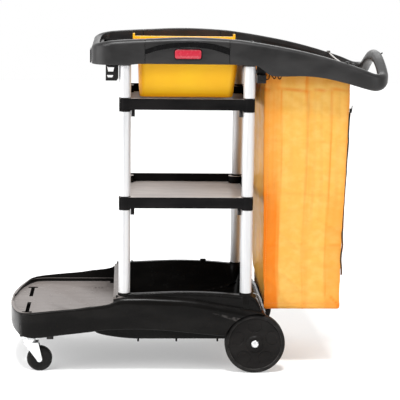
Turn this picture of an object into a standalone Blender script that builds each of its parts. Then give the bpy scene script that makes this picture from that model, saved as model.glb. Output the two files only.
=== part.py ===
"""Wheeled cleaning cart: moulded base with a tub, two shelves on tube posts, a top deck with a
push handle, a lift-out bin and a hanging waste bag.

Metres, +Z up. +X points from the low front platform to the push handle, -Y is the cart's left
side. The origin is on the floor, in the middle of the cart's length and width.
"""
import math

import bmesh
import bpy
from mathutils import Matrix, Vector

# ---- driving dimensions -------------------------------------------------------------------
GAP = 0.0003                      # clearance between pieces that touch

PLATFORM_Z = 0.190                # top of the platform floor
PLATFORM_WALL = 0.007
PLATFORM_BACK = -0.274
TUB_FLOOR_Z = 0.107
TUB_UNDERSIDE_Z = 0.101
BELLY_HALF = 0.2035               # half width of the tub's lower part
TUB_LIP_HALF = 0.2535             # half width of the tub's raised lip

POST_X = {"front": -0.238, "rear": 0.169}
POST_Y = 0.235
POST_R = 0.0195
POST_BORE_R = 0.0175
SPIGOT_R = 0.0168
SPIGOT_LENGTH = 0.022
POST_FOOT_Z = 0.274
POST_TOP_Z = 1.034

SHELF_Z = {"lower": 0.556, "upper": 0.883}
COLLAR_HEIGHT = 0.0455
SHELF_WALL = 0.005
SHELF_OVERHANG = 0.0165           # the rim's reach beyond the posts' centres
CORNER_BOSS_R = 0.024
RIM_DROP = 0.002                  # the rim's top below the collars' top
RIM_RISE = 0.0065                 # the rim's lower edge above the collars' lower end
SHELF_FLOOR = 0.014               # floor surface above the underside of the corner collars

DECK_OUTER_Y = 0.2605
DECK_INNER_Y = 0.2265
DECK_SEAM_FRONT = -0.174
DECK_SEAM_REAR = 0.101
SEAM_HALF = 0.0010
TRAY_HALF_Y = DECK_INNER_Y - GAP
TRAY_BOTTOM_Z = 1.037
TRAY_TOP_Z = 1.086
TRAY_X = (-0.3220, 0.2155)
BIN_OPENING_X = (-0.2065, 0.1465)

GRIP_R = 0.0170
GRIP_TOP = Vector((0.618, 0.0, 1.0525))
GRIP_TOP_HALF = 0.0205            # half the grip's height at its highest point

PEG_X = 0.490
PEG_Y = 0.2315
PEG_R = 0.0045
PEG_TOP_Z = 1.0508
RAIL_Y = 0.2175
RAIL_R = 0.004
RAIL_DROP = 0.115                 # the rail's fall per metre towards the rear

BIN_WALL = 0.003
BIN_BOTTOM_Z = 0.926
BIN_BOTTOM_X = (-0.1905, 0.1175)
BIN_TOP_X = (-0.1965, 0.1390)
BIN_HALF = (0.205, 0.2150)             # at the bottom and at the rim
BIN_RIM_Z = TRAY_TOP_Z + GAP
BIN_RIM_THICKNESS = 0.004
BIN_CORNER = 0.016
BIN_FLANGE = 0.0125                    # the rim's reach beyond the walls at the ends
HANDLE_PIVOT_Z = 1.072
HANDLE_PIVOT_R = 0.0035

WHEEL_R = 0.1016
WHEEL_X = 0.2025
WHEEL_Y = (0.224, 0.262)
TYRE_SEAT_R = 0.0885
AXLE_R = 0.006
AXLE_Z = WHEEL_R

CASTER_X = -0.555
CASTER_Y = 0.220
CASTER_TRAIL = 0.033
CASTER_R = 0.0425
CASTER_HALF_WIDTH = 0.014
CASTER_TOP_Z = 0.1235
CASTER_AXLE_R = 0.0040
KING_PIN_R = 0.0045

BAG_WALL = 0.004
BAG_BOTTOM_Z = 0.2095
BAG_TOP_Z = 0.992
BAG_BOTTOM = (0.2300, 0.4975, 0.205)   # front X, rear X, half width
BAG_MOUTH = (0.2245, 0.507, 0.2115)
BAG_BELLY = 0.024                      # how far the front face bulges towards the posts

SIDES = {"left": -1, "right": 1}

# ---- outlines, as points along X ----------------------------------------------------------
BASE_PLAN = [(-0.629, 0.050), (-0.6255, 0.095), (-0.6175, 0.147), (-0.607, 0.190), (-0.5955, 0.224),
             (-0.587, 0.245), (-0.576, 0.260), (-0.562, 0.269), (-0.545, 0.274), (-0.520, 0.276)]
BASE_CREST = [(-0.629, 0.197), (-0.600, 0.201), (-0.574, 0.208), (-0.489, 0.219), (-0.401, 0.227),
              (-0.358, 0.234), (-0.298, 0.248), (-0.262, 0.263), (-0.185, 0.266), (-0.119, 0.264),
              (-0.013, 0.257), (0.098, 0.237), (0.159, 0.226), (0.225, 0.211), (0.242, 0.198)]
BASE_SKIRT = [(-0.629, 0.140), (-0.600, 0.133), (-0.573, 0.127), (-0.532, 0.125), (-0.458, 0.134),
              (-0.355, 0.146), (-0.300, 0.153), (-0.200, 0.156), (-0.118, 0.153), (-0.017, 0.144),
              (0.100, 0.132), (0.225, 0.127), (0.242, 0.145)]
TUB_LIP = [(-0.274, 0.260), (-0.250, 0.268), (-0.150, 0.2745), (-0.050, 0.278), (0.050, 0.276),
           (0.150, 0.268), (0.192, 0.262), (0.210, 0.243), (0.224, 0.216)]
BELLY = [(-0.358, 0.146), (-0.336, 0.1245), (-0.316, 0.1165), (-0.275, 0.1085), (-0.216, 0.1020),
         (-0.150, TUB_UNDERSIDE_Z), (0.226, TUB_UNDERSIDE_Z)]
DECK_TOP = [(-0.347, 1.096), (-0.319, 1.108), (-0.258, 1.115), (-0.174, 1.120), (-0.034, 1.126),
            (0.107, 1.121), (0.182, 1.112), (0.257, 1.100), (0.342, 1.084), (0.428, 1.063),
            (0.515, 1.037), (0.574, 1.017), (0.600, 1.013)]
DECK_BOTTOM = [(-0.347, 1.035), (-0.230, 1.036), (-0.176, 1.041), (0.110, 1.040), (0.150, 1.038),
               (0.178, 1.0370), (0.194, 1.0352), (0.212, 1.022), (0.238, 1.005), (0.290, 1.003),
               (0.351, 1.004), (0.413, 0.998), (0.487, 0.9815), (0.547, 0.9645), (0.583, 0.9555),
               (0.600, 0.956)]


# ---- collections, materials and basic tools -----------------------------------------------
for leftover in list(bpy.data.objects):
    bpy.data.objects.remove(leftover, do_unlink=True)
PARTS = bpy.data.collections.new("cleaning_cart")
bpy.context.scene.collection.children.link(PARTS)


def material(name, colour, roughness, metallic=0.0):
    """A plain Principled material."""
    made = bpy.data.materials.new(name)
    made.use_nodes = True
    shader = made.node_tree.nodes["Principled BSDF"]
    shader.inputs["Base Color"].default_value = (*colour, 1.0)
    shader.inputs["Roughness"].default_value = roughness
    shader.inputs["Metallic"].default_value = metallic
    return made


BLACK = material("black_plastic", (0.018, 0.018, 0.019), 0.42)
YELLOW = material("yellow_plastic", (0.86, 0.50, 0.03), 0.38)
RED = material("red_badge", (0.55, 0.03, 0.05), 0.30)
VINYL = material("yellow_vinyl", (0.90, 0.47, 0.06), 0.45)
ALUMINIUM = material("aluminium", (0.80, 0.80, 0.81), 0.28, 1.0)
ZINC = material("zinc_steel", (0.66, 0.67, 0.68), 0.30, 1.0)
TYRE = material("tyre_rubber", (0.022, 0.021, 0.021), 0.62)


def add(name, mesh, look=BLACK, smooth=30.0):
    """Put a finished mesh in the scene as a named part."""
    part = bpy.data.objects.new(name, mesh)
    PARTS.objects.link(part)
    mesh.materials.clear()
    mesh.materials.append(look)
    mesh.shade_smooth()
    mesh.set_sharp_from_angle(angle=math.radians(smooth))
    return part


def from_bmesh(name, bm, look=BLACK):
    """Turn a bmesh into a part."""
    mesh = bpy.data.meshes.new(name)
    bm.to_mesh(mesh)
    bm.free()
    return add(name, mesh, look)


def bake(part):
    """Replace a part's mesh with its evaluated one, and drop its modifiers."""
    graph = bpy.context.evaluated_depsgraph_get()
    mesh = bpy.data.meshes.new_from_object(part.evaluated_get(graph))
    part.modifiers.clear()
    old = part.data
    part.data = mesh
    bpy.data.meshes.remove(old)
    return part


def combine(part, operation, others):
    """Union, subtract or intersect other shapes, which are used up."""
    for other in others:
        step = part.modifiers.new(operation.title(), "BOOLEAN")
        step.operation = operation
        step.solver = "EXACT"
        step.object = other
    bake(part)
    for other in others:
        bpy.data.objects.remove(other, do_unlink=True)
    part.data.shade_smooth()
    part.data.set_sharp_from_angle(angle=math.radians(30.0))
    return part


def set_origin(part, point):
    """Move a part's origin without moving the part."""
    part.data.transform(Matrix.Translation(-Vector(point)))
    part.location = point
    return part


def box(name, low, high, look=BLACK):
    """A box between two corners."""
    low = Vector(low)
    high = Vector(high)
    bm = bmesh.new()
    bmesh.ops.create_cube(bm, size=1.0)
    bmesh.ops.scale(bm, vec=high - low, verts=bm.verts)
    bmesh.ops.translate(bm, vec=(low + high) / 2, verts=bm.verts)
    return from_bmesh(name, bm, look)


def side_box(name, x_range, y_range, z_range, side, look=BLACK):
    """A box on one side of the cart, with its Y range given as distances from the middle."""
    y_low, y_high = sorted((side * y_range[0], side * y_range[1]))
    return box(name, (x_range[0], y_low, z_range[0]), (x_range[1], y_high, z_range[1]), look)


def rod(name, start, end, radius, look=BLACK, segments=16, end_radius=None):
    """A round bar, or a cone, between two points."""
    start = Vector(start)
    end = Vector(end)
    bm = bmesh.new()
    bmesh.ops.create_cone(bm, cap_ends=True, segments=segments, radius1=radius,
                          radius2=radius if end_radius is None else end_radius,
                          depth=(end - start).length)
    turn = Vector((0, 0, 1)).rotation_difference(end - start).to_matrix().to_4x4()
    bmesh.ops.transform(bm, matrix=Matrix.Translation((start + end) / 2) @ turn, verts=bm.verts)
    return from_bmesh(name, bm, look)


def turned(name, profile, look=BLACK, steps=32):
    """A ring or disc turned about Z from a closed (radius, height) profile."""
    bm = bmesh.new()
    points = [bm.verts.new((radius, 0.0, height)) for radius, height in profile]
    for here, there in zip(points, points[1:] + points[:1]):
        bm.edges.new((here, there))
    part = from_bmesh(name, bm, look)
    screw = part.modifiers.new("Screw", "SCREW")
    screw.axis = "Z"
    screw.angle = math.tau
    screw.steps = steps
    screw.render_steps = steps
    screw.use_merge_vertices = True
    screw.merge_threshold = 0.00001
    bake(part)
    part.data.shade_smooth()
    part.data.set_sharp_from_angle(angle=math.radians(30.0))
    return part


def lay_on_y(part, x, y, z, side=1):
    """Turn a piece made about Z so that its axis lies along Y, its top facing the side."""
    turn = Matrix.Rotation(math.radians(-90.0 * side), 4, "X")
    part.data.transform(Matrix.Translation((x, y, z)) @ turn)
    return part


def loft(name, rings, look=BLACK):
    """Skin equal-length rings of points, with both ends capped."""
    bm = bmesh.new()
    loops = [[bm.verts.new(point) for point in ring] for ring in rings]
    count = len(loops[0])
    for first, second in zip(loops, loops[1:]):
        for i in range(count):
            j = (i + 1) % count
            bm.faces.new((first[i], first[j], second[j], second[i]))
    bm.faces.new(list(reversed(loops[0])))
    bm.faces.new(loops[-1])
    bmesh.ops.recalc_face_normals(bm, faces=bm.faces)
    return from_bmesh(name, bm, look)


def plate(name, outline, thickness, look=BLACK, resolution=4):
    """A flat plate in the XZ plane, centred on Y = 0, from (x, z, handle type) points."""
    curve = bpy.data.curves.new(name, "CURVE")
    curve.dimensions = "2D"
    curve.fill_mode = "BOTH"
    curve.extrude = thickness / 2
    curve.resolution_u = resolution
    spline = curve.splines.new("BEZIER")
    spline.bezier_points.add(len(outline) - 1)
    for knot, (x, z, handle) in zip(spline.bezier_points, outline):
        knot.co = (x, z, 0.0)
        knot.handle_left_type = handle
        knot.handle_right_type = handle
    spline.use_cyclic_u = True
    drawn = bpy.data.objects.new(name + "_outline", curve)
    PARTS.objects.link(drawn)
    graph = bpy.context.evaluated_depsgraph_get()
    mesh = bpy.data.meshes.new_from_object(drawn.evaluated_get(graph))
    bpy.data.objects.remove(drawn, do_unlink=True)
    bm = bmesh.new()
    bm.from_mesh(mesh)
    bpy.data.meshes.remove(mesh)
    bmesh.ops.remove_doubles(bm, verts=bm.verts, dist=0.00001)
    bmesh.ops.rotate(bm, cent=(0, 0, 0), matrix=Matrix.Rotation(math.radians(90), 3, "X"),
                     verts=bm.verts)
    return from_bmesh(name, bm, look)


def wire(name, points, radius, look=BLACK, bevel_resolution=2):
    """A round wire through the points."""
    curve = bpy.data.curves.new(name, "CURVE")
    curve.dimensions = "3D"
    curve.bevel_depth = radius
    curve.bevel_resolution = bevel_resolution
    curve.use_fill_caps = True
    spline = curve.splines.new("POLY")
    spline.points.add(len(points) - 1)
    for knot, point in zip(spline.points, points):
        knot.co = (*point, 1.0)
    drawn = bpy.data.objects.new(name + "_path", curve)
    PARTS.objects.link(drawn)
    graph = bpy.context.evaluated_depsgraph_get()
    mesh = bpy.data.meshes.new_from_object(drawn.evaluated_get(graph))
    bpy.data.objects.remove(drawn, do_unlink=True)
    bm = bmesh.new()
    bm.from_mesh(mesh)
    bpy.data.meshes.remove(mesh)
    bmesh.ops.remove_doubles(bm, verts=bm.verts, dist=0.00001)
    bmesh.ops.recalc_face_normals(bm, faces=bm.faces)
    return from_bmesh(name, bm, look)


def height_at(points, x):
    """Read a smooth curve through (x, value) points: cubic between points, flat outside."""
    if x <= points[0][0]:
        return points[0][1]
    if x >= points[-1][0]:
        return points[-1][1]
    i = max(k for k in range(len(points) - 1) if points[k][0] <= x)
    slopes = []
    for k in (i, i + 1):
        before = points[max(k - 1, 0)]
        after = points[min(k + 1, len(points) - 1)]
        slopes.append((after[1] - before[1]) / (after[0] - before[0]))
    (x0, v0), (x1, v1) = points[i], points[i + 1]
    span = x1 - x0
    t = (x - x0) / span
    return (v0 * (2 * t**3 - 3 * t**2 + 1) + slopes[0] * span * (t**3 - 2 * t**2 + t)
            + v1 * (3 * t**2 - 2 * t**3) + slopes[1] * span * (t**3 - t**2))


def corner(centre, radius, start, end, steps):
    """Points on an arc, angles in degrees."""
    points = []
    for k in range(steps + 1):
        angle = math.radians(start + (end - start) * k / steps)
        points.append((centre[0] + radius * math.cos(angle),
                       centre[1] + radius * math.sin(angle)))
    return points


def rounded_rectangle(low, high, radius, steps=2):
    """A rounded rectangle between two 2D corners, counter-clockwise."""
    points = corner((high[0] - radius, high[1] - radius), radius, 0, 90, steps)
    points += corner((low[0] + radius, high[1] - radius), radius, 90, 180, steps)
    points += corner((low[0] + radius, low[1] + radius), radius, 180, 270, steps)
    points += corner((high[0] - radius, low[1] + radius), radius, 270, 360, steps)
    return points


def tapered_tub(name, levels, look=BLACK, steps=2):
    """A loft up Z through rounded rectangles: (z, front x, rear x, half width, corner radius)."""
    rings = []
    for z, front, rear, half, radius in levels:
        ring = rounded_rectangle((front, -half), (rear, half), radius, steps)
        rings.append([(x, y, z) for x, y in ring])
    return loft(name, rings, look)


# ---- base ---------------------------------------------------------------------------------
def base_ring(x, half, skirt, crest, radius, steps=2):
    """A section across the base: square below, rounded along the top edges."""
    ring = [(-half, skirt), (half, skirt)]
    ring += corner((half - radius, crest - radius), radius, 0, 90, steps)
    ring += corner((radius - half, crest - radius), radius, 90, 180, steps)
    return [(x, y, z) for y, z in ring]


def base_hull():
    """The outer shape: bowed platform, side walls and rear fenders."""
    stations = [x for x, _ in BASE_PLAN]
    stations += [-0.489, -0.445, -0.401, -0.358, -0.328, -0.298, -0.280, -0.262, -0.225, -0.185,
                 -0.119, -0.060, -0.013, 0.045, 0.098, 0.159, 0.225, 0.236, 0.242]
    rings = []
    for x in stations:
        radius = min(0.025, max(0.010, 0.010 + (x + 0.36) * 0.2))
        rings.append(base_ring(x, height_at(BASE_PLAN, x), height_at(BASE_SKIRT, x),
                               height_at(BASE_CREST, x), radius))
    return loft("base_moulding", rings)


def platform_recess():
    """The space above the platform floor."""
    stations = [-0.6235, -0.6190, -0.6100, -0.5980, -0.5860, -0.5750, -0.5620, -0.5450, -0.5200,
                PLATFORM_BACK]
    rings = []
    for x in stations:
        half = height_at(BASE_PLAN, x - 0.009) - PLATFORM_WALL
        rings.append([(x, -half, PLATFORM_Z), (x, half, PLATFORM_Z),
                      (x, half + 0.002, 0.35), (x, -half - 0.002, 0.35)])
    return loft("platform_recess", rings)


def tub_body():
    """The tub's upper walls, standing proud of the fenders as a lip."""
    rings = []
    for x, lip in TUB_LIP:
        rings.append(base_ring(x, TUB_LIP_HALF, 0.180, lip, 0.004, steps=1))
    return loft("tub_body", rings)


def belly():
    """The tub's lower part, which hangs below the side walls."""
    rings = []
    for x, bottom in BELLY:
        half = BELLY_HALF
        rings.append([(x, 0.0065 - half, bottom), (x, half - 0.0065, bottom),
                      (x, half, bottom + 0.015), (x, half, 0.185),
                      (x, -half, 0.185), (x, -half, bottom + 0.015)])
    return loft("belly", rings)


def t_slots():
    """Two T-shaped slots through the platform floor, for tying down a bucket."""
    cutters = []
    for side in SIDES.values():
        cutters.append(side_box("slot_bar", (-0.584, -0.550), (0.168, 0.184), (0.1, 0.25), side))
        cutters.append(side_box("slot_stem", (-0.573, -0.560), (0.042, 0.1685), (0.1, 0.25), side))
        cutters.append(side_box("slot_rear", (-0.345, -0.315), (0.166, 0.172), (0.1, 0.25), side))
    return cutters


def underside_pockets():
    """Hollows under the platform, between its ribs."""
    cutters = []
    for side in SIDES.values():
        for x_range in ((-0.604, -0.536), (-0.528, -0.462), (-0.454, -0.372)):
            for y_range in ((0.004, 0.090), (0.098, 0.176)):
                cutters.append(side_box("pocket", x_range, y_range, (0.05, 0.184), side))
        cutters.append(side_box("side_pocket", (-0.454, -0.372), (0.184, 0.262), (0.05, 0.184),
                                side))
        cutters.append(side_box("skirt_hollow", (-0.290, 0.080), (0.2450, 0.2680), (0.05, 0.225),
                                side))
    return cutters


def base_moulding():
    """The whole base: one moulding."""
    part = base_hull()
    combine(part, "UNION", [tub_body(), belly()])
    cavity = tapered_tub("cavity", [(TUB_FLOOR_Z, -0.240, 0.172, 0.190, 0.02),
                                    (0.30, -0.262, 0.196, 0.241, 0.02)])
    wells = []
    for side in SIDES.values():
        wells.append(rod("well", (WHEEL_X, side * 0.2090, AXLE_Z), (WHEEL_X, side * 0.2680, AXLE_Z),
                         0.106, segments=32))
    combine(part, "DIFFERENCE", [platform_recess(), cavity, *wells, *t_slots(),
                                 *underside_pockets()])
    extras = []
    for side in SIDES.values():
        for x in POST_X.values():
            y = side * POST_Y
            extras.append(rod("socket", (x, y, 0.205), (x, y, POST_FOOT_Z - GAP), 0.0213))
            extras.append(rod("spigot", (x, y, 0.250), (x, y, POST_FOOT_Z + SPIGOT_LENGTH),
                              SPIGOT_R))
        extras.append(side_box("axle_block", (0.178, 0.224), (0.150, 0.2030), (0.086, 0.1245),
                               side))
        extras.append(side_box("caster_pad", (-0.586, -0.524), (0.192, 0.248),
                               (CASTER_TOP_Z + GAP, 0.170), side))
        extras.append(side_box("platform_foot", (-0.499, -0.4765), (0.184, 0.204), (0.1025, 0.160),
                               side))
        for x in (-0.190, -0.060, 0.080):
            y = side * 0.186
            extras.append(rod("nub", (x, y, TUB_UNDERSIDE_Z - 0.0105), (x, y, TUB_UNDERSIDE_Z + 0.003),
                              0.0035, segments=8))
    extras.append(box("lip_block", (0.040, 0.2440, 0.262), (0.061, 0.2515, 0.2815)))
    combine(part, "UNION", extras)
    bore = rod("axle_bore", (WHEEL_X, -0.3, AXLE_Z), (WHEEL_X, 0.3, AXLE_Z), AXLE_R + GAP,
               segments=16)
    combine(part, "DIFFERENCE", [bore])
    return part


# ---- posts and shelves --------------------------------------------------------------------
def post(name, x, y, low, high):
    """One length of aluminium tube."""
    low = low + GAP
    high = high - GAP
    part = turned(name, [(POST_BORE_R, low), (POST_BORE_R, high), (POST_R, high), (POST_R, low)],
                  ALUMINIUM, 16)
    part.data.transform(Matrix.Translation((x, y, 0.0)))
    return part


def posts():
    """Three lengths of tube at each corner, stacked between the shelves' collars."""
    stages = {"lower": (POST_FOOT_Z, SHELF_Z["lower"]),
              "middle": (SHELF_Z["lower"] + COLLAR_HEIGHT, SHELF_Z["upper"]),
              "upper": (SHELF_Z["upper"] + COLLAR_HEIGHT, POST_TOP_Z)}
    for stage, (low, high) in stages.items():
        for end, x in POST_X.items():
            for side, sign in SIDES.items():
                post(f"post_{stage}_{end}_{side}", x, sign * POST_Y, low, high)


def shelf(level):
    """A tray with corner collars that join the tubes above and below."""
    low = SHELF_Z[level]
    top = low + COLLAR_HEIGHT
    front = POST_X["front"] - SHELF_OVERHANG
    rear = POST_X["rear"] + SHELF_OVERHANG
    half = POST_Y + SHELF_OVERHANG
    part = box(f"shelf_{level}", (front, -half, low + RIM_RISE), (rear, half, top - RIM_DROP))
    pocket = tapered_tub("pocket", [
        (low + SHELF_FLOOR, front + SHELF_WALL, rear - SHELF_WALL, half - SHELF_WALL, 0.006),
        (top + 0.02, front + SHELF_WALL, rear - SHELF_WALL, half - SHELF_WALL, 0.006)])
    under = tapered_tub("under", [
        (low - 0.02, front + 0.045, rear - 0.045, half - 0.045, 0.01),
        (low + 0.0105, front + 0.045, rear - 0.045, half - 0.045, 0.01)])
    combine(part, "DIFFERENCE", [pocket, under])
    extras = []
    for sign in SIDES.values():
        y = sign * POST_Y
        for end, x in POST_X.items():
            inward = 1 if end == "front" else -1
            extras.append(rod("collar", (x, y, low), (x, y, top), POST_R))
            extras.append(rod("spigot", (x, y, low - SPIGOT_LENGTH), (x, y, top + SPIGOT_LENGTH),
                              SPIGOT_R))
            extras.append(rod("boss", (x + inward * 0.008, y - sign * 0.008, low + 0.004),
                              (x + inward * 0.008, y - sign * 0.008, top - 0.006),
                              CORNER_BOSS_R, segments=12))
            ends = sorted((x + inward * 0.0205, x + inward * 0.0325))
            extras.append(side_box("gusset", ends, (0.228, 0.240), (low - 0.017, low + 0.010),
                                   sign))
    combine(part, "UNION", extras)
    return part


# ---- deck ---------------------------------------------------------------------------------
def deck_section(centre, along, half_width, half_height, radii, steps=2):
    """A section with rounded corners in the order outer-bottom, inner-bottom, inner-top,
    outer-top. The outer side is on the right of the path's direction."""
    right = along.cross(Vector((0, 0, 1))).normalized()
    up = right.cross(along).normalized()
    w = half_width
    h = half_height
    outer_low, inner_low, inner_top, outer_top = radii
    flat = corner((w - outer_low, outer_low - h), outer_low, 0, -90, steps)
    flat += corner((inner_low - w, inner_low - h), inner_low, -90, -180, steps)
    flat += corner((inner_top - w, h - inner_top), inner_top, 180, 90, steps)
    flat += corner((w - outer_top, h - outer_top), outer_top, 90, 0, steps)
    return [centre + right * u + up * v for u, v in flat]


def deck_sweep(name, stations, look=BLACK):
    """Sweep deck sections along stations of (centre, half width, half height, radii, tilt).

    A section is upright at tilt 0 and square to the path at tilt 1. The path runs towards +X on
    the cart's left side and towards -X on its right side, which puts the sections' outer side on
    the outside.
    """
    rings = []
    for i, (centre, half_width, half_height, radii, tilt) in enumerate(stations):
        before = stations[max(i - 1, 0)][0]
        after = stations[min(i + 1, len(stations) - 1)][0]
        along = after - before
        along.z *= tilt
        rings.append(deck_section(centre, along, half_width, half_height, radii))
    return loft(name, rings, look)


def fascia_station(x, y, half_width=0.017, radii=(0.003, 0.003, 0.003, 0.018), top=None):
    """A station on the deck's outline at plan point x, y."""
    low = height_at(DECK_BOTTOM, x)
    high = height_at(DECK_TOP, x) if top is None else top
    return (Vector((x, y, (low + high) / 2)), half_width, (high - low) / 2, radii, 0.0)


def flipped(stations):
    """The same stations on the other side of the cart."""
    other = []
    for centre, *rest in stations:
        other.append((Vector((centre.x, -centre.y, centre.z)), *rest))
    return other


def post_sockets(x):
    """The spigots and collars that hold the top tubes."""
    shapes = []
    for sign in SIDES.values():
        y = sign * POST_Y
        shapes.append(rod("spigot", (x, y, POST_TOP_Z - SPIGOT_LENGTH), (x, y, 1.060), SPIGOT_R))
        shapes.append(rod("collar", (x, y, POST_TOP_Z + GAP), (x, y, 1.060), POST_R))
    return shapes


def front_cap():
    """The deck's front end: both side walls and the front wall in one piece."""
    y = -(DECK_OUTER_Y + DECK_INNER_Y) / 2
    turn = 0.050
    front = -0.335
    half = [fascia_station(x, y) for x in (DECK_SEAM_FRONT - SEAM_HALF, -0.215, -0.258)]
    for k, (x, y_turn) in enumerate(corner((front + turn, y + turn), turn, -90, -180, 4)):
        half.append(fascia_station(x, y_turn, 0.017 - 0.001 * k,
                                   top=height_at(DECK_TOP, x) - 0.0008 * k))
    half.append(fascia_station(front, -0.10, 0.012, top=1.099))
    middle = [fascia_station(front - 0.001, 0.0, 0.012, top=1.098)]
    part = deck_sweep("front_cap", flipped(half) + middle + half[::-1])
    combine(part, "UNION", post_sockets(POST_X["front"]))
    return part


def arch_band():
    """The recessed arch across a side panel."""
    return plate("arch_band", [(-0.200, 1.081, "AUTO"), (-0.126, 1.102, "AUTO"),
                               (-0.034, 1.112, "AUTO"), (0.058, 1.104, "AUTO"),
                               (0.130, 1.081, "VECTOR"), (0.130, 1.060, "VECTOR"),
                               (0.058, 1.085, "AUTO"), (-0.034, 1.095, "AUTO"),
                               (-0.126, 1.084, "AUTO"), (-0.200, 1.060, "VECTOR")], 0.006)


def side_panel(side):
    """The middle length of the deck's side wall."""
    y = (DECK_OUTER_Y + DECK_INNER_Y) / 2
    stations = []
    for x in (DECK_SEAM_FRONT + SEAM_HALF, -0.130, -0.080, -0.034, 0.010, 0.060,
              DECK_SEAM_REAR - SEAM_HALF):
        stations.append(fascia_station(x, -y))
    if SIDES[side] > 0:
        stations = flipped(stations)[::-1]
    part = deck_sweep(f"side_panel_{side}", stations)
    band = arch_band()
    band.data.transform(Matrix.Translation((0, SIDES[side] * DECK_OUTER_Y, 0)))
    combine(part, "DIFFERENCE", [band])
    return part


def handle_frame():
    """Both handle arms and the raised push bar between them, one moulding."""
    y = -(DECK_OUTER_Y + DECK_INNER_Y) / 2
    half = []
    for x in (DECK_SEAM_REAR + SEAM_HALF, 0.135, 0.165, 0.180, 0.194, 0.203, 0.214, 0.228, 0.245,
              0.300, 0.365, 0.430, 0.495, 0.545):
        half.append(fascia_station(x, y))
    for x, y, z, half_width, half_height, radius, tilt in (
            (0.5800, -0.2410, 0.9845, 0.0172, 0.0285, 0.0150, 0.0),
            (0.6010, -0.2300, 0.9855, 0.0172, 0.0270, 0.0165, 0.2),
            (0.6130, -0.2070, 0.9930, 0.0172, 0.0225, GRIP_R, 0.6),
            (0.6165, -0.1720, 1.0100, GRIP_R, 0.0195, GRIP_R, 1.0),
            (0.6175, -0.1310, 1.0275, GRIP_R, 0.0185, GRIP_R, 1.0),
            (0.6178, -0.0850, 1.0425, GRIP_R, 0.0190, GRIP_R, 1.0),
            (0.6180, -0.0420, 1.0505, GRIP_R, 0.0200, GRIP_R, 1.0)):
        half.append((Vector((x, y, z)), half_width, half_height, (radius,) * 4, tilt))
    middle = [(GRIP_TOP, GRIP_R, GRIP_TOP_HALF, (GRIP_R,) * 4, 1.0)]
    part = deck_sweep("handle_frame", half + middle + flipped(half)[::-1])
    combine(part, "UNION", post_sockets(POST_X["rear"]))
    holes = []
    for sign in SIDES.values():
        x, y = PEG_X, sign * PEG_Y
        holes.append(rod("peg_hole", (x, y, 1.034), (x, y, 1.070), PEG_R + GAP, segments=12))
    combine(part, "DIFFERENCE", holes)
    return part


def deck_tray():
    """The tray inside the deck: pockets at both ends and an opening for the bin."""
    part = box("deck_tray", (TRAY_X[0], -TRAY_HALF_Y, TRAY_BOTTOM_Z),
               (TRAY_X[1], TRAY_HALF_Y, TRAY_TOP_Z))
    corners = tapered_tub("outline", [(1.0, TRAY_X[0], 0.4, TRAY_HALF_Y, 0.040),
                                      (1.2, TRAY_X[0], 0.4, TRAY_HALF_Y, 0.040)], steps=4)
    combine(part, "INTERSECT", [corners])
    floor = TRAY_BOTTOM_Z + 0.005
    cutters = [box("bin_opening", (BIN_OPENING_X[0], -0.2175, 1.0), (BIN_OPENING_X[1], 0.2175, 1.2)),
               box("rear_pocket", (0.156, -0.205, floor), (0.2095, 0.205, 1.2)),
               box("front_pocket", (-0.256, -0.205, floor), (-0.213, 0.205, 1.2))]
    for sign in SIDES.values():
        cutters.append(side_box("nose_pocket", (-0.311, -0.262), (0.003, 0.190), (floor, 1.2),
                                sign))
        for x in POST_X.values():
            y = sign * POST_Y
            cutters.append(rod("post_notch", (x, y, 1.0), (x, y, 1.061), POST_R + GAP))
    combine(part, "DIFFERENCE", cutters)
    return part


def badge(side):
    """A plain rounded badge on the side panel."""
    sign = SIDES[side]
    ring = rounded_rectangle((-0.0775, 1.0570), (0.0085, 1.0880), 0.006, 3)
    inner = sign * (DECK_OUTER_Y + GAP)
    outer = sign * (DECK_OUTER_Y + 0.0022)
    rings = [[(x, depth, z) for x, z in ring] for depth in (inner, outer)]
    return loft(f"badge_{side}", rings, RED)


def front_clip():
    """A flat clip on the front wall that takes a broom handle."""
    part = box("front_clip", (-0.3570, -0.045, 1.024), (-0.3530, 0.045, 1.068))
    foot = box("foot", (-0.3540, -0.030, 1.040), (-0.3483, 0.030, 1.056))
    window = box("window", (-0.360, -0.028, 1.030), (-0.350, 0.028, 1.037))
    combine(part, "UNION", [foot])
    combine(part, "DIFFERENCE", [window])
    return part


def tool_hook(side):
    """A hanger with two windows under the deck's front corner."""
    sign = SIDES[side]
    part = plate(f"tool_hook_{side}", [(-0.301, 1.0340, "VECTOR"), (-0.301, 0.984, "VECTOR"),
                                       (-0.266, 0.984, "VECTOR"), (-0.260, 0.992, "VECTOR"),
                                       (-0.260, 1.0340, "VECTOR")], 0.020)
    upper = plate("upper", [(-0.297, 1.030, "VECTOR"), (-0.293, 1.012, "VECTOR"),
                            (-0.277, 1.012, "VECTOR"), (-0.273, 1.030, "VECTOR")], 0.03)
    lower = plate("lower", [(-0.298, 1.002, "VECTOR"), (-0.294, 0.993, "VECTOR"),
                            (-0.280, 0.993, "VECTOR"), (-0.276, 1.002, "VECTOR")], 0.03)
    combine(part, "DIFFERENCE", [upper, lower])
    part.data.transform(Matrix.Translation((0, sign * 0.240, 0)))
    return part


# ---- bag and its rails --------------------------------------------------------------------
def rail_point(x, sign):
    """A point on the bag rail's centre line."""
    return (x, sign * RAIL_Y, 1.034 - (x - 0.2225) * RAIL_DROP)


def rail_bracket(side):
    """The bracket behind the rear post that holds the rail's front end."""
    sign = SIDES[side]
    part = side_box(f"rail_bracket_{side}", (0.1930, 0.2222), (0.2135, 0.2262), (0.979, 1.0363),
                    sign)
    lug = side_box("lug", (0.1930, 0.2222), (0.2200, 0.2500), (0.979, 1.0050), sign)
    combine(part, "UNION", [lug])
    return part


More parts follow.
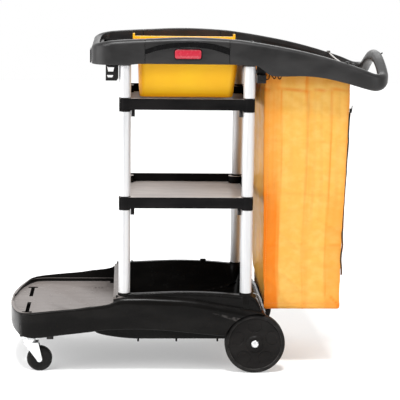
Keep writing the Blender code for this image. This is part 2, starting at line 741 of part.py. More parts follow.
def rail_clip(side):
    """The block on the arm that holds the rail's rear end."""
    return side_box(f"rail_clip_{side}", (0.4983, 0.5120), (0.2135, 0.2262), (0.9880, 1.0120),
                    SIDES[side])


def bag_rail(side):
    """The steel rod that the bag's hem hangs from."""
    sign = SIDES[side]
    return rod(f"bag_rail_{side}", rail_point(0.2232, sign), rail_point(0.4975, sign), RAIL_R,
               ZINC, 12)


def bag_peg(side):
    """The peg on the arm's top that the bag's tab hooks over."""
    y = SIDES[side] * PEG_Y
    part = rod(f"bag_peg_{side}", (PEG_X, y, 1.0345), (PEG_X, y, PEG_TOP_Z - 0.002), PEG_R, BLACK, 12)
    head = rod("head", (PEG_X, y, PEG_TOP_Z - 0.0033), (PEG_X, y, PEG_TOP_Z), 0.0070, BLACK, 12,
               end_radius=0.0050)
    combine(part, "UNION", [head])
    return part


def bag_ring(z, inset):
    """A section of the bag: a rectangle whose front face bulges above the bottom."""
    share = (z - BAG_BOTTOM_Z) / (BAG_TOP_Z - BAG_BOTTOM_Z)
    front, rear, half = (low + share * (high - low)
                         for low, high in zip(BAG_BOTTOM, BAG_MOUTH))
    bulge = BAG_BELLY * min(1.0, max(0.0, share / 0.15))
    front += inset
    rear -= inset
    half -= inset
    return [(rear, half, z), (front, half, z), (front - bulge * 0.75, half - 0.045, z),
            (front - bulge, 0.0, z), (front - bulge * 0.75, 0.045 - half, z),
            (front, -half, z), (rear, -half, z)]


def bag():
    """The waste bag, as a plain thin-walled sack with an open mouth."""
    shoulder = BAG_BOTTOM_Z + 0.15 * (BAG_TOP_Z - BAG_BOTTOM_Z)
    part = loft("waste_bag", [bag_ring(z, 0.0) for z in (BAG_BOTTOM_Z, shoulder, BAG_TOP_Z)],
                VINYL)
    inside = loft("inside", [bag_ring(z, BAG_WALL) for z in (BAG_BOTTOM_Z + BAG_WALL, shoulder,
                                                             BAG_TOP_Z + 0.01)])
    combine(part, "DIFFERENCE", [inside])
    return part


def bag_zip():
    """The zip that runs down the bag's rear face, with a short loop as its pull."""
    points = []
    for z in (0.322, 0.40, 0.48, 0.56, 0.64, 0.72, 0.80, 0.872):
        share = (z - BAG_BOTTOM_Z) / (BAG_TOP_Z - BAG_BOTTOM_Z)
        face = BAG_BOTTOM[1] + share * (BAG_MOUTH[1] - BAG_BOTTOM[1])
        points.append((face + 0.0042, -0.197, z))
    return wire("bag_zip", points, 0.003, BLACK)


# ---- bin ----------------------------------------------------------------------------------
def bin_box():
    """The lift-out bin: tapered walls and a rim that rests on the deck tray."""
    rim = BIN_RIM_Z
    top = rim + BIN_RIM_THICKNESS
    part = tapered_tub("bin", [(BIN_BOTTOM_Z, *BIN_BOTTOM_X, BIN_HALF[0], BIN_CORNER),
                               (top, *BIN_TOP_X, BIN_HALF[1], BIN_CORNER)], YELLOW, 3)
    flange = tapered_tub("flange", [(z, BIN_TOP_X[0] - BIN_FLANGE, BIN_TOP_X[1] + BIN_FLANGE,
                                     0.2215, 0.012) for z in (rim, top)])
    t = BIN_WALL
    inside = tapered_tub("inside", [(z, front + t, rear - t, half - t, BIN_CORNER - t)
                                    for z, (front, rear), half in (
                                        (BIN_BOTTOM_Z + t, BIN_BOTTOM_X, BIN_HALF[0]),
                                        (top + 0.002, BIN_TOP_X, BIN_HALF[1]))], BLACK, 3)
    combine(part, "UNION", [flange])
    combine(part, "DIFFERENCE", [inside])
    holes = rod("pivot_holes", (-0.23, 0, HANDLE_PIVOT_Z), (0.16, 0, HANDLE_PIVOT_Z),
                HANDLE_PIVOT_R + GAP, segments=12)
    combine(part, "DIFFERENCE", [holes])
    return part


def bin_handle():
    """The bin's carry bar, with an upright stop at each end, hung on a pivot in each end wall."""
    bar_low = 1.104
    bar_top = 1.1125
    part = box("bin_handle", (-0.2125, -0.008, bar_low), (0.1365, 0.008, bar_top), YELLOW)
    shapes = []
    for end, (arm, pin, stop) in {"front": ((-0.1905, -0.1830), (-0.1965, -0.1870),
                                            (-0.2125, -0.2055)),
                                  "rear": ((0.1240, 0.1315), (0.1280, 0.1370),
                                           (0.1295, 0.1365))}.items():
        shapes.append(box("arm_" + end, (arm[0], -0.009, HANDLE_PIVOT_Z - 0.010),
                          (arm[1], 0.009, bar_low + 0.002)))
        shapes.append(rod("pin_" + end, (pin[0], 0, HANDLE_PIVOT_Z), (pin[1], 0, HANDLE_PIVOT_Z),
                          HANDLE_PIVOT_R, segments=12))
        shapes.append(box("stop_" + end, (stop[0], -0.009, bar_low - 0.001),
                          (stop[1], 0.009, 1.1215)))
    combine(part, "UNION", shapes)
    return set_origin(part, (0.0, 0.0, HANDLE_PIVOT_Z))


# ---- rear wheels --------------------------------------------------------------------------
def rear_wheel(side):
    """A solid wheel: hub disc and tread ring."""
    sign = SIDES[side]
    width = WHEEL_Y[1] - WHEEL_Y[0]
    seat = TYRE_SEAT_R
    tread = [(seat + GAP, 0.002), (seat + GAP, width - 0.002), (WHEEL_R - 0.006, width),
             (WHEEL_R, width - 0.007), (WHEEL_R, 0.007), (WHEEL_R - 0.006, 0.0)]
    disc = [(AXLE_R + GAP, 0.0), (AXLE_R + GAP, width), (0.022, width), (0.028, width - 0.005),
            (seat, width - 0.005), (seat, 0.010), (0.028, 0.010), (0.022, 0.0)]
    made = {}
    for name, profile, look in (("rear_tyre", tread, TYRE), ("rear_hub", disc, BLACK)):
        part = turned(f"{name}_{side}", profile, look, 28)
        lay_on_y(part, WHEEL_X, sign * WHEEL_Y[0], AXLE_Z, sign)
        made[name] = set_origin(part, (WHEEL_X, sign * WHEEL_Y[0], AXLE_Z))
    return made


def axle_cap(side):
    """The bright push-on cap at the end of the axle."""
    part = turned(f"axle_cap_{side}", [(0.0, 0.0), (0.0, 0.0070), (0.0060, 0.0062),
                                       (0.0105, 0.0038), (0.0127, 0.0)], ZINC, 24)
    return lay_on_y(part, WHEEL_X, SIDES[side] * (WHEEL_Y[1] + 2 * GAP), AXLE_Z, SIDES[side])


def rear_axle():
    """The steel axle through both rear wheels."""
    end = WHEEL_Y[1] + GAP
    return rod("rear_axle", (WHEEL_X, -end, AXLE_Z), (WHEEL_X, end, AXLE_Z), AXLE_R, ZINC, 16)


# ---- casters ------------------------------------------------------------------------------
def caster(side):
    """A swivel caster: top plate, fork, wheel and axle bolt."""
    sign = SIDES[side]
    x = CASTER_X
    y = sign * CASTER_Y
    plate_low = CASTER_TOP_Z - 0.003
    top = box(f"caster_plate_{side}", (x - 0.029, y - 0.026, plate_low),
              (x + 0.029, y + 0.026, CASTER_TOP_Z), ZINC)
    race = rod("race", (x, y, 0.1125), (x, y, plate_low + 0.001), 0.0215, segments=24)
    king_pin = rod("king_pin", (x, y, 0.0975), (x, y, 0.115), KING_PIN_R, segments=12)
    combine(top, "UNION", [race, king_pin])

    fork_top = 0.1125 - GAP
    fork = rod(f"caster_fork_{side}", (x, y, 0.0985), (x, y, fork_top), 0.0205, ZINC, 24)
    axle_x = x + CASTER_TRAIL
    bridge = box("bridge", (x - 0.019, y - 0.0195, 0.0955), (x + 0.030, y + 0.0195, 0.1000))
    legs = []
    for leg_side in (-1, 1):
        leg = plate("leg", [(x - 0.019, 0.0990, "VECTOR"), (axle_x - 0.0100, 0.0420, "VECTOR"),
                            (axle_x - 0.0065, 0.0350, "VECTOR"), (axle_x, 0.0325, "VECTOR"),
                            (axle_x + 0.0065, 0.0350, "VECTOR"),
                            (axle_x + 0.0095, 0.0420, "VECTOR"),
                            (x + 0.030, 0.0990, "VECTOR")], 0.0025)
        leg.data.transform(Matrix.Translation((0, y + leg_side * 0.01825, 0)))
        legs.append(leg)
    combine(fork, "UNION", [bridge, *legs])
    king_bore = rod("king_bore", (x, y, 0.05), (x, y, 0.2), KING_PIN_R + GAP, segments=12)
    axle_bore = rod("axle_bore", (axle_x, y - 0.03, CASTER_R), (axle_x, y + 0.03, CASTER_R),
                    CASTER_AXLE_R + GAP, segments=12)
    combine(fork, "DIFFERENCE", [king_bore, axle_bore])
    set_origin(fork, (x, y, fork_top))

    w = CASTER_HALF_WIDTH
    wheel = turned(f"caster_wheel_{side}", [
        (CASTER_AXLE_R + GAP, -0.0160), (CASTER_AXLE_R + GAP, 0.0160), (0.0110, 0.0160), (0.0125, w),
        (CASTER_R - 0.003, w), (CASTER_R, w - 0.004), (CASTER_R, 0.004 - w),
        (CASTER_R - 0.003, -w), (0.0125, -w), (0.0110, -0.0160)], TYRE, 20)
    lay_on_y(wheel, axle_x, y, CASTER_R)
    set_origin(wheel, (axle_x, y, CASTER_R))

    bolt = rod(f"caster_bolt_{side}", (axle_x, y - 0.0210, CASTER_R), (axle_x, y + 0.0210, CASTER_R),
               CASTER_AXLE_R, ZINC, 12)
    heads = []
    for end in (-1, 1):
        heads.append(rod("head", (axle_x, y + end * (0.0195 + GAP), CASTER_R),
                         (axle_x, y + end * 0.0235, CASTER_R), 0.0065, segments=6))
    combine(bolt, "UNION", heads)


# ---- the whole cart -----------------------------------------------------------------------
base_moulding()
posts()
for shelf_level in SHELF_Z:
    shelf(shelf_level)
front_cap()
handle_frame()
deck_tray()
front_clip()
bin_box()
bin_handle()
bag()
bag_zip()
rear_axle()
for side_name in SIDES:
    side_panel(side_name)
    badge(side_name)
    tool_hook(side_name)
    rail_bracket(side_name)
    rail_clip(side_name)
    bag_rail(side_name)
    bag_peg(side_name)
    rear_wheel(side_name)
    axle_cap(side_name)
    caster(side_name)
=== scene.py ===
"""Looks of the wheeled cleaning cart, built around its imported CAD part.

Metres, +Z up, +X from the low front platform to the push handle, -Y the cart's left side.
"""

import math

import bmesh
import bpy
import numpy as np
from mathutils import Matrix, Vector, noise
from mathutils.bvhtree import BVHTree


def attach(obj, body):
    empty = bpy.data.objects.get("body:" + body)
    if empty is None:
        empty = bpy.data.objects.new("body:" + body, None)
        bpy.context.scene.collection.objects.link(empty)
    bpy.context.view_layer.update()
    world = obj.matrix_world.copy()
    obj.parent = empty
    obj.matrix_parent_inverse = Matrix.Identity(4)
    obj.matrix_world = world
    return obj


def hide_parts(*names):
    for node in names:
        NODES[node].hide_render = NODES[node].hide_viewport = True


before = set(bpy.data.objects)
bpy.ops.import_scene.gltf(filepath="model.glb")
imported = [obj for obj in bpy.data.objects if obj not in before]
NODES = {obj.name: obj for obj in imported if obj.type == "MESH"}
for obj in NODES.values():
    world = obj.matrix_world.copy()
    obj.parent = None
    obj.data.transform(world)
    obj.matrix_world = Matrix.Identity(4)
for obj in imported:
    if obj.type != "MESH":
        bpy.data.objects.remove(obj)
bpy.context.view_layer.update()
SIDES = {"left": -1, "right": 1}
TAU = math.tau

# ---- sizes shared with the CAD part -------------------------------------------------------
PLATFORM_Z = 0.190
TUB_FLOOR_Z = 0.107
UNDERSIDE_Z = 0.101
POST_X = {"front": -0.238, "rear": 0.169}
POST_Y = 0.235
POST_R = 0.0195
POST_FOOT_Z = 0.274
POST_TOP_Z = 1.034
SHELF_Z = {"lower": 0.556, "upper": 0.883}
COLLAR_HEIGHT = 0.0455
DECK_OUTER_Y = 0.2605
DECK_INNER_Y = 0.2265
SEAMS = (-0.174, 0.101)
SEAM_HALF = 0.0010
WHEEL_R = 0.1016
WHEEL_X = 0.2025
WHEEL_Y = (0.224, 0.262)
CASTER_X = -0.555
CASTER_Y = 0.220
CASTER_TRAIL = 0.033
CASTER_R = 0.0425
BAG_LOW_Z = 0.212
DECK_MID_Y = (DECK_OUTER_Y + DECK_INNER_Y) / 2
PEG_X, PEG_Y = 0.490, 0.2315
RAIL_Y = 0.2175
RAIL_X = (0.2232, 0.4975)
BIN_Z = (0.926, 1.0903)
BIN_LOW = (-0.1905, 0.1175, 0.205)        # front X, rear X and half width at the bottom
BIN_HIGH = (-0.1965, 0.1390, 0.2150)      # the same at the top

BASE_PLAN = [(-0.629, 0.050), (-0.6255, 0.095), (-0.6175, 0.147), (-0.607, 0.190), (-0.5955, 0.224),
             (-0.587, 0.245), (-0.576, 0.260), (-0.562, 0.269), (-0.545, 0.274), (-0.520, 0.276)]
BASE_CREST = [(-0.629, 0.197), (-0.600, 0.201), (-0.574, 0.208), (-0.489, 0.219), (-0.401, 0.227),
              (-0.358, 0.234), (-0.298, 0.248), (-0.262, 0.263), (-0.185, 0.266), (-0.119, 0.264),
              (-0.013, 0.257), (0.098, 0.237), (0.159, 0.226), (0.225, 0.211), (0.242, 0.198)]
BASE_SKIRT = [(-0.629, 0.140), (-0.600, 0.133), (-0.573, 0.127), (-0.532, 0.125), (-0.458, 0.134),
              (-0.355, 0.146), (-0.300, 0.153), (-0.200, 0.156), (-0.118, 0.153), (-0.017, 0.144),
              (0.100, 0.132), (0.225, 0.127), (0.242, 0.145)]
TUB_LIP = [(-0.274, 0.260), (-0.250, 0.268), (-0.150, 0.2745), (-0.050, 0.278), (0.050, 0.276),
           (0.150, 0.268), (0.192, 0.262), (0.210, 0.243), (0.224, 0.216)]
BELLY = [(-0.358, 0.146), (-0.336, 0.1245), (-0.316, 0.1165), (-0.275, 0.1085), (-0.216, 0.1020),
         (-0.150, UNDERSIDE_Z), (0.226, UNDERSIDE_Z)]
DECK_TOP = [(-0.347, 1.096), (-0.319, 1.108), (-0.258, 1.115), (-0.174, 1.120), (-0.034, 1.126),
            (0.107, 1.121), (0.182, 1.112), (0.257, 1.100), (0.342, 1.084), (0.428, 1.063),
            (0.515, 1.037), (0.574, 1.017), (0.600, 1.013)]
DECK_BOTTOM = [(-0.347, 1.035), (-0.230, 1.036), (-0.176, 1.041), (0.110, 1.040), (0.150, 1.038),
               (0.178, 1.0370), (0.194, 1.0352), (0.212, 1.022), (0.238, 1.005), (0.290, 1.003),
               (0.351, 1.004), (0.413, 0.998), (0.487, 0.9815), (0.547, 0.9645), (0.583, 0.9555),
               (0.600, 0.956)]


# ---- materials ----------------------------------------------------------------------------
class Look:
    """A procedural material, built node by node in the object's own coordinates."""

    def __init__(self, name, roughness, metallic=0.0, **sockets):
        self.material = bpy.data.materials.new(name)
        self.material.use_nodes = True
        self.tree = self.material.node_tree
        self.shader = self.tree.nodes["Principled BSDF"]
        self.feed(self.shader, Roughness=roughness, Metallic=metallic, **sockets)
        self.place = self.node("ShaderNodeTexCoord").outputs["Object"]

    def node(self, kind, **settings):
        made = self.tree.nodes.new(kind)
        for key, value in settings.items():
            setattr(made, key, value)
        return made

    def feed(self, made, **inputs):
        """Link or set a node's inputs, by their names or by numbers such as i0."""
        for key, value in inputs.items():
            numbered = key[0] == "i" and key[1:].isdigit()
            socket = made.inputs[int(key[1:]) if numbered else key.replace("_", " ")]
            if isinstance(value, bpy.types.NodeSocket):
                self.tree.links.new(value, socket)
            else:
                socket.default_value = (*value[:3], 1.0) if socket.type == "RGBA" else value
        return made

    def noise(self, scale, detail=2.0, stretch=(1, 1, 1), roughness=0.5):
        spot = self.feed(self.node("ShaderNodeMapping"), Vector=self.place, Scale=stretch)
        made = self.feed(self.node("ShaderNodeTexNoise"), Vector=spot.outputs[0], Scale=scale,
                         Detail=detail, Roughness=roughness)
        return made.outputs["Fac"]

    def wave(self, scale, direction):
        made = self.node("ShaderNodeTexWave", wave_type="BANDS", bands_direction=direction)
        return self.feed(made, Vector=self.place, Scale=scale).outputs["Fac"]

    def remap(self, value, low, high, out_low=0.0, out_high=1.0):
        made = self.node("ShaderNodeMapRange", interpolation_type="SMOOTHSTEP")
        return self.feed(made, i0=value, i1=low, i2=high, i3=out_low, i4=out_high).outputs[0]

    def mottle(self, scale, low, high, detail=2.0):
        """Noise that wanders between two values."""
        return self.remap(self.noise(scale, detail), 0.3, 0.7, low, high)

    def maths(self, operation, first, second=0.0):
        made = self.node("ShaderNodeMath", operation=operation)
        return self.feed(made, i0=first, i1=second).outputs[0]

    def mix(self, factor, first, second):
        made = self.node("ShaderNodeMix", data_type="RGBA", clamp_factor=True)
        return self.feed(made, i0=factor, i6=first, i7=second).outputs[2]

    def axis(self, which, vector=None):
        """One coordinate of the place, or of another vector."""
        source = self.place if vector is None else vector
        return self.feed(self.node("ShaderNodeSeparateXYZ"), Vector=source).outputs[which]

    def worn(self, base, edge, low=0.53, high=0.62):
        """Lighter on rubbed edges, broken up by noise."""
        point = self.node("ShaderNodeNewGeometry").outputs["Pointiness"]
        amount = self.maths("MULTIPLY", self.remap(point, low, high),
                            self.remap(self.noise(60.0, 3.0), 0.35, 0.65))
        return self.mix(amount, base, edge)

    def finish(self, colour, rough, *bumps):
        """Link colour and roughness, and stack bumps of (height, strength, distance)."""
        normal = None
        for height, strength, distance in bumps:
            made = self.feed(self.node("ShaderNodeBump"), Height=height, Strength=strength,
                             Distance=distance)
            if normal is not None:
                self.feed(made, Normal=normal)
            normal = made.outputs[0]
        self.feed(self.shader, Base_Color=colour, Roughness=rough, Normal=normal)
        return self.material


def moulded(name, dark, light, roughness, edge, grain=0.10, vary=0.10, specular=0.5,
            painted_sheen_colour=None, painted_sheen_end=9.0):
    """Black moulded plastic: fine pebble grain, faint flow marks and rubbed edges.

    A painted sheen, if any, lies over the rubbed edges: a lighter colour painted on faces that look
    up, in front of the end in X, for the reflection they catch.
    """
    made = Look(name, roughness, Specular_IOR_Level=specular)
    flow = made.noise(9.0, 4.0, (1.0, 1.0, 2.6))
    rubbed = 0.57 if painted_sheen_colour else 0.53
    base = made.worn(made.mix(made.remap(flow, 0.35, 0.7), dark, light), edge, rubbed,
                     rubbed + 0.09)
    # Painted reflection: faces that look up, above the tub floor, take a lighter colour in faint
    # streaks.
    if painted_sheen_colour:
        normal = made.node("ShaderNodeNewGeometry").outputs["Normal"]
        sheen_streaks = made.remap(made.noise(26.0, 5.0, (0.35, 1.6, 1.0), 0.65), 0.25, 0.75, 0.84, 1.0)
        amount = made.remap(made.axis(2, normal), 0.80, 0.98)
        for limit in (sheen_streaks, made.remap(made.axis(0), painted_sheen_end, painted_sheen_end - 0.02),
                      made.remap(made.axis(2), 0.120, 0.150)):
            amount = made.maths("MULTIPLY", amount, limit)
        base = made.mix(amount, base, painted_sheen_colour)
    rough = made.mottle(34.0, roughness - vary / 2, roughness + vary / 2, 5.0)
    return made.finish(base, rough, (flow, 0.03, 0.002), (made.noise(1500.0), grain, 0.0003))


def black_and_arch_shade():
    """A darker, smoother gloss black: painted shade where it lines the recessed arch, and the own
    black of the gaskets, badge surrounds and hook wires.
    """
    made = Look("gloss_black_and_arch_shade", 0.24, Specular_IOR_Level=0.15)
    tone = made.mix(made.noise(30.0, 3.0), (0.0035, 0.0035, 0.0038), (0.0065, 0.0062, 0.0064))
    return made.finish(tone, made.mottle(90.0, 0.20, 0.30), (made.noise(900.0), 0.04, 0.0002))


def rubber():
    """Tyre rubber with scuffed, dusty patches."""
    made = Look("tyre_rubber", 0.6, Specular_IOR_Level=0.12)
    scuff = made.noise(28.0, 6.0, (1.0, 3.0, 1.0), 0.65)
    tone = made.mix(made.remap(scuff, 0.35, 0.75), (0.0070, 0.0066, 0.0064),
                    (0.022, 0.0205, 0.0195))
    return made.finish(made.worn(tone, (0.085, 0.078, 0.072), 0.52, 0.60),
                       made.remap(scuff, 0.3, 0.7, 0.46, 0.68),
                       (scuff, 0.12, 0.0008), (made.noise(1100.0), 0.18, 0.0002))


def yellow_plastic():
    """The bin's satin yellow, with painted shade: deeper orange where the front and rear corners
    round away from the light; also deeper towards its bottom.
    """
    made = Look("satin_yellow_plastic", 0.36, Specular_IOR_Level=0.22,
                Coat_Weight=0.02, Coat_Roughness=0.18)
    # Painted shade at the rounded front and rear corners; the bottom is deeper orange too.
    along = made.maths("ABSOLUTE", made.maths("ADD", made.axis(0), 0.033))
    low = made.maths("MULTIPLY", made.remap(made.axis(2), 0.950, 0.928), 0.8)
    amount = made.maths("MAXIMUM", made.remap(along, 0.128, 0.166), low)
    amount = made.maths("MAXIMUM", amount, made.mottle(7.0, 0.0, 0.35, 3.0))
    return made.finish(made.mix(amount, (0.930, 0.530, 0.010), (0.840, 0.320, 0.004)),
                       made.mottle(55.0, 0.30, 0.42, 3.0),
                       (made.noise(16.0), 0.05, 0.002), (made.noise(1300.0), 0.06, 0.0002))


def bar_yellow():
    """The carry bar's yellow."""
    made = Look("satin_yellow_bar", 0.34, Coat_Weight=0.1, Coat_Roughness=0.15)
    tone = made.mix(made.mottle(22.0, 0.0, 1.0, 3.0), (0.930, 0.560, 0.022), (0.880, 0.480, 0.014))
    return made.finish(tone, made.mottle(70.0, 0.28, 0.42), (made.noise(900.0), 0.06, 0.0002))


def badge_red():
    """Gloss red with a darker moulded edge."""
    made = Look("gloss_red_badge", 0.22, Coat_Weight=0.5, Coat_Roughness=0.06)
    across = made.maths("ABSOLUTE", made.maths("ADD", made.axis(2), -1.0725))
    tone = made.mix(made.noise(40.0, 3.0), (0.400, 0.016, 0.035), (0.460, 0.028, 0.048))
    tone = made.mix(made.remap(across, 0.0105, 0.0150), tone, (0.240, 0.006, 0.014))
    return made.finish(tone, made.mottle(120.0, 0.18, 0.30), (made.noise(700.0), 0.03, 0.0002))


def satin_aluminium():
    """Drawn, clear-anodised tube: near white, with faint lengthwise lines."""
    made = Look("satin_aluminium", 0.44, 0.40, Specular_IOR_Level=0.5)
    lines = made.noise(190.0, 3.0, (1.0, 1.0, 0.012), 0.6)
    tone = made.mix(made.remap(lines, 0.3, 0.7), (0.555, 0.560, 0.575), (0.665, 0.665, 0.665))
    cloud = made.remap(made.noise(6.0), 0.4, 0.7, 0.0, 0.3)
    return made.finish(made.mix(cloud, tone, (0.690, 0.665, 0.655)),
                       made.remap(lines, 0.3, 0.7, 0.40, 0.54), (lines, 0.06, 0.0004))


def zinc_plate():
    """Bright zinc plate with a fine spangle and duller patches."""
    made = Look("zinc_plate", 0.26, 0.95)
    cells = made.feed(made.node("ShaderNodeTexVoronoi"), Vector=made.place, Scale=320.0)
    spangle = made.remap(cells.outputs["Distance"], 0.0, 0.9)
    stain = made.noise(45.0, 4.0)
    tone = made.mix(spangle, (0.700, 0.710, 0.720), (0.840, 0.845, 0.850))
    tone = made.mix(made.remap(stain, 0.5, 0.8, 0.0, 0.5), tone, (0.520, 0.510, 0.480))
    return made.finish(made.worn(tone, (0.900, 0.900, 0.900)),
                       made.remap(stain, 0.3, 0.7, 0.20, 0.38),
                       (spangle, 0.04, 0.0003), (stain, 0.04, 0.0008))


def vinyl():
    """Coated nylon: a fine weave under a soft gloss, deeper orange where painted shade lies in its
    folds and creases.
    """
    made = Look("coated_nylon", 0.42, Specular_IOR_Level=0.14)
    fold_shade = made.node("ShaderNodeAttribute", attribute_name="fold_shade").outputs["Fac"]
    fine = made.noise(34.0, 4.0, (0.8, 0.8, 1.2), 0.55)
    weave = made.maths("MULTIPLY", made.wave(320.0, "Z"),
                       made.maths("MAXIMUM", made.wave(320.0, "X"), made.wave(320.0, "Y")))
    tone = made.mix(made.remap(fine, 0.35, 0.72), (0.690, 0.378, 0.072), (0.715, 0.428, 0.104))
    cloud = made.remap(made.noise(7.0, 3.0), 0.52, 0.80, 0.0, 0.30)
    tone = made.mix(cloud, tone, (0.800, 0.330, 0.040))
    # Painted shade from the bag's per-point attribute deepens the orange in folds, creases and
    # shaded places.
    return made.finish(made.mix(fold_shade, tone, (0.690, 0.175, 0.007)),
                       made.remap(fine, 0.3, 0.7, 0.32, 0.48),
                       (fine, 0.12, 0.0012), (weave, 0.10, 0.0002))


def woven(name, roughness, waves, dark, light, rough, bump, **sockets):
    """Tape or thread, its weave the product of waves of (scale, direction)."""
    made = Look(name, roughness, **sockets)
    weave = made.wave(*waves[0])
    for other in waves[1:]:
        weave = made.maths("MULTIPLY", weave, made.wave(*other))
    return made.finish(made.mix(weave, dark, light), made.mottle(*rough), (weave, *bump))


# The base and shelf blacks get a painted sheen: a lighter colour on faces that look up, such as the
# platform, the shelf floors and rim tops.
BASE_BLACK = moulded("moulded_base_black", (0.0045, 0.0042, 0.0040), (0.0080, 0.0074, 0.0070),
                     0.24, (0.050, 0.046, 0.044), grain=0.03, vary=0.08, specular=0.07,
                     painted_sheen_colour=(0.172, 0.152, 0.143), painted_sheen_end=-0.235)
SHELF_BLACK = moulded("moulded_shelf_black", (0.0060, 0.0058, 0.0060), (0.0105, 0.0098, 0.0098),
                      0.20, (0.050, 0.047, 0.046), grain=0.02, vary=0.06, specular=0.04,
                      painted_sheen_colour=(0.640, 0.575, 0.540))
DECK_BLACK = moulded("satin_deck_black", (0.0150, 0.0145, 0.0146), (0.0240, 0.0230, 0.0230), 0.38,
                     (0.060, 0.057, 0.055), specular=0.3)
FITTING_BLACK = moulded("fitting_black", (0.0050, 0.0050, 0.0052), (0.0100, 0.0095, 0.0095), 0.30,
                        (0.045, 0.044, 0.044), grain=0.05, specular=0.25)
HUB_BLACK = moulded("hub_black", (0.0075, 0.0068, 0.0065), (0.0125, 0.0113, 0.0108), 0.42,
                    (0.050, 0.046, 0.043), specular=0.08)
BLACK_AND_ARCH_SHADE = black_and_arch_shade()
RUBBER = rubber()
YELLOW = yellow_plastic()
BAR_YELLOW = bar_yellow()
RED = badge_red()
ALUMINIUM = satin_aluminium()
ZINC = zinc_plate()
VINYL = vinyl()
TAPE = woven("woven_black_tape", 0.75, [(500.0, "Z"), (500.0, "Y")], (0.010, 0.010, 0.010),
             (0.030, 0.029, 0.029), (80.0, 0.62, 0.84), (0.3, 0.0003), Specular_IOR_Level=0.2,
             Sheen_Weight=0.03)
GREY_WEB = woven("grey_binding", 0.6, [(420.0, "Y")], (0.300, 0.285, 0.265),
                 (0.420, 0.400, 0.380), (70.0, 0.5, 0.7), (0.25, 0.0003), Sheen_Weight=0.2)
THREAD = woven("orange_thread", 0.6, [(900.0, "DIAGONAL")], (0.700, 0.200, 0.020),
               (0.800, 0.300, 0.045), (90.0, 0.5, 0.7), (0.3, 0.0002), Sheen_Weight=0.3)


# ---- mesh tools ---------------------------------------------------------------------------
def height_at(points, x):
    """Read a smooth curve through (x, value) points: cubic between points, flat outside."""
    if x <= points[0][0]:
        return points[0][1]
    if x >= points[-1][0]:
        return points[-1][1]
    i = max(k for k in range(len(points) - 1) if points[k][0] <= x)
    slopes = []
    for k in (i, i + 1):
        before = points[max(k - 1, 0)]
        after = points[min(k + 1, len(points) - 1)]
        slopes.append((after[1] - before[1]) / (after[0] - before[0]))
    (x0, v0), (x1, v1) = points[i], points[i + 1]
    span = x1 - x0
    t = (x - x0) / span
    return (v0 * (2 * t**3 - 3 * t**2 + 1) + slopes[0] * span * (t**3 - 2 * t**2 + t)
            + v1 * (3 * t**2 - 2 * t**3) + slopes[1] * span * (t**3 - t**2))


def step(low, high, value):
    """Smoothstep."""
    t = min(1.0, max(0.0, (value - low) / (high - low)))
    return t * t * (3 - 2 * t)


def spread(low, high, count):
    """Evenly spaced numbers, both ends included."""
    return [low + (high - low) * k / (count - 1) for k in range(count)]


def circle(count):
    """The (cosine, sine) of evenly spaced angles."""
    return [(math.cos(TAU * k / count), math.sin(TAU * k / count)) for k in range(count)]


def corner(centre, radius, start, end, steps):
    """Points on an arc, angles in degrees."""
    angles = [math.radians(start + (end - start) * k / steps) for k in range(steps + 1)]
    return [(centre[0] + radius * math.cos(a), centre[1] + radius * math.sin(a)) for a in angles]


def rounded_rectangle(low, high, radius, steps=6):
    """A rounded rectangle between two 2D corners, counter-clockwise."""
    x = (low[0] + radius, high[0] - radius)
    y = (low[1] + radius, high[1] - radius)
    points = []
    for i, j, start in ((1, 1, 0), (0, 1, 90), (0, 0, 180), (1, 0, 270)):
        points += corner((x[i], y[j]), radius, start, start + 90, steps)
    return points


def fillet(points, radius, closed=False, steps=3):
    """Round the corners of a 2D outline."""
    made = []
    count = len(points)
    for i, point in enumerate(points):
        if not closed and i in (0, count - 1):
            made.append(tuple(point))
            continue
        here = Vector(point)
        back = Vector(points[i - 1]) - here
        on = Vector(points[(i + 1) % count]) - here
        reach = min(radius, 0.45 * back.length, 0.45 * on.length)
        start = here + back.normalized() * reach
        end = here + on.normalized() * reach
        for k in range(steps + 1):
            t = k / steps
            made.append(tuple(start * (1 - t) ** 2 + here * 2 * t * (1 - t) + end * t * t))
    return made


def placed(name, mesh):
    made = bpy.data.objects.new(name, mesh)
    bpy.context.scene.collection.objects.link(made)
    return made


def build(name, verts, faces, sharp=35.0):
    """A welded mesh object, smooth but for edges sharper than the angle."""
    mesh = bpy.data.meshes.new(name)
    mesh.from_pydata([tuple(v) for v in verts], [], faces)
    bm = bmesh.new()
    bm.from_mesh(mesh)
    bmesh.ops.remove_doubles(bm, verts=bm.verts, dist=0.000005)
    bmesh.ops.recalc_face_normals(bm, faces=bm.faces)
    bm.to_mesh(mesh)
    bm.free()
    return shade(placed(name, mesh), sharp)


def shade(made, sharp=35.0):
    made.data.shade_smooth()
    made.data.set_sharp_from_angle(angle=math.radians(sharp))
    return made


def quads(rings, count, around=True, closed=False, flip=False):
    """Faces between rings of count points. around closes each ring, closed joins last to first."""
    faces = []
    for k in range(rings if closed else rings - 1):
        m = (k + 1) % rings
        for i in range(count if around else count - 1):
            j = (i + 1) % count
            a, b, c, d = k * count + i, k * count + j, m * count + j, m * count + i
            faces.append((a, d, c, b) if flip else (a, b, c, d))
    return faces


def loft(name, rings, caps=True, closed=False, sharp=35.0):
    """Skin equal-length rings of points."""
    count = len(rings[0])
    faces = quads(len(rings), count, closed=closed)
    if caps and not closed:
        faces.append(tuple(range(count))[::-1])
        faces.append(tuple(range((len(rings) - 1) * count, len(rings) * count)))
    return build(name, [point for ring in rings for point in ring], faces, sharp)


def lathe(name, profile, segments=64, closed=False):
    """Turn (radius, height) points about Z."""
    verts = [(r * c, r * s, h) for c, s in circle(segments) for r, h in profile]
    return build(name, verts, quads(segments, len(profile), closed, True, True))


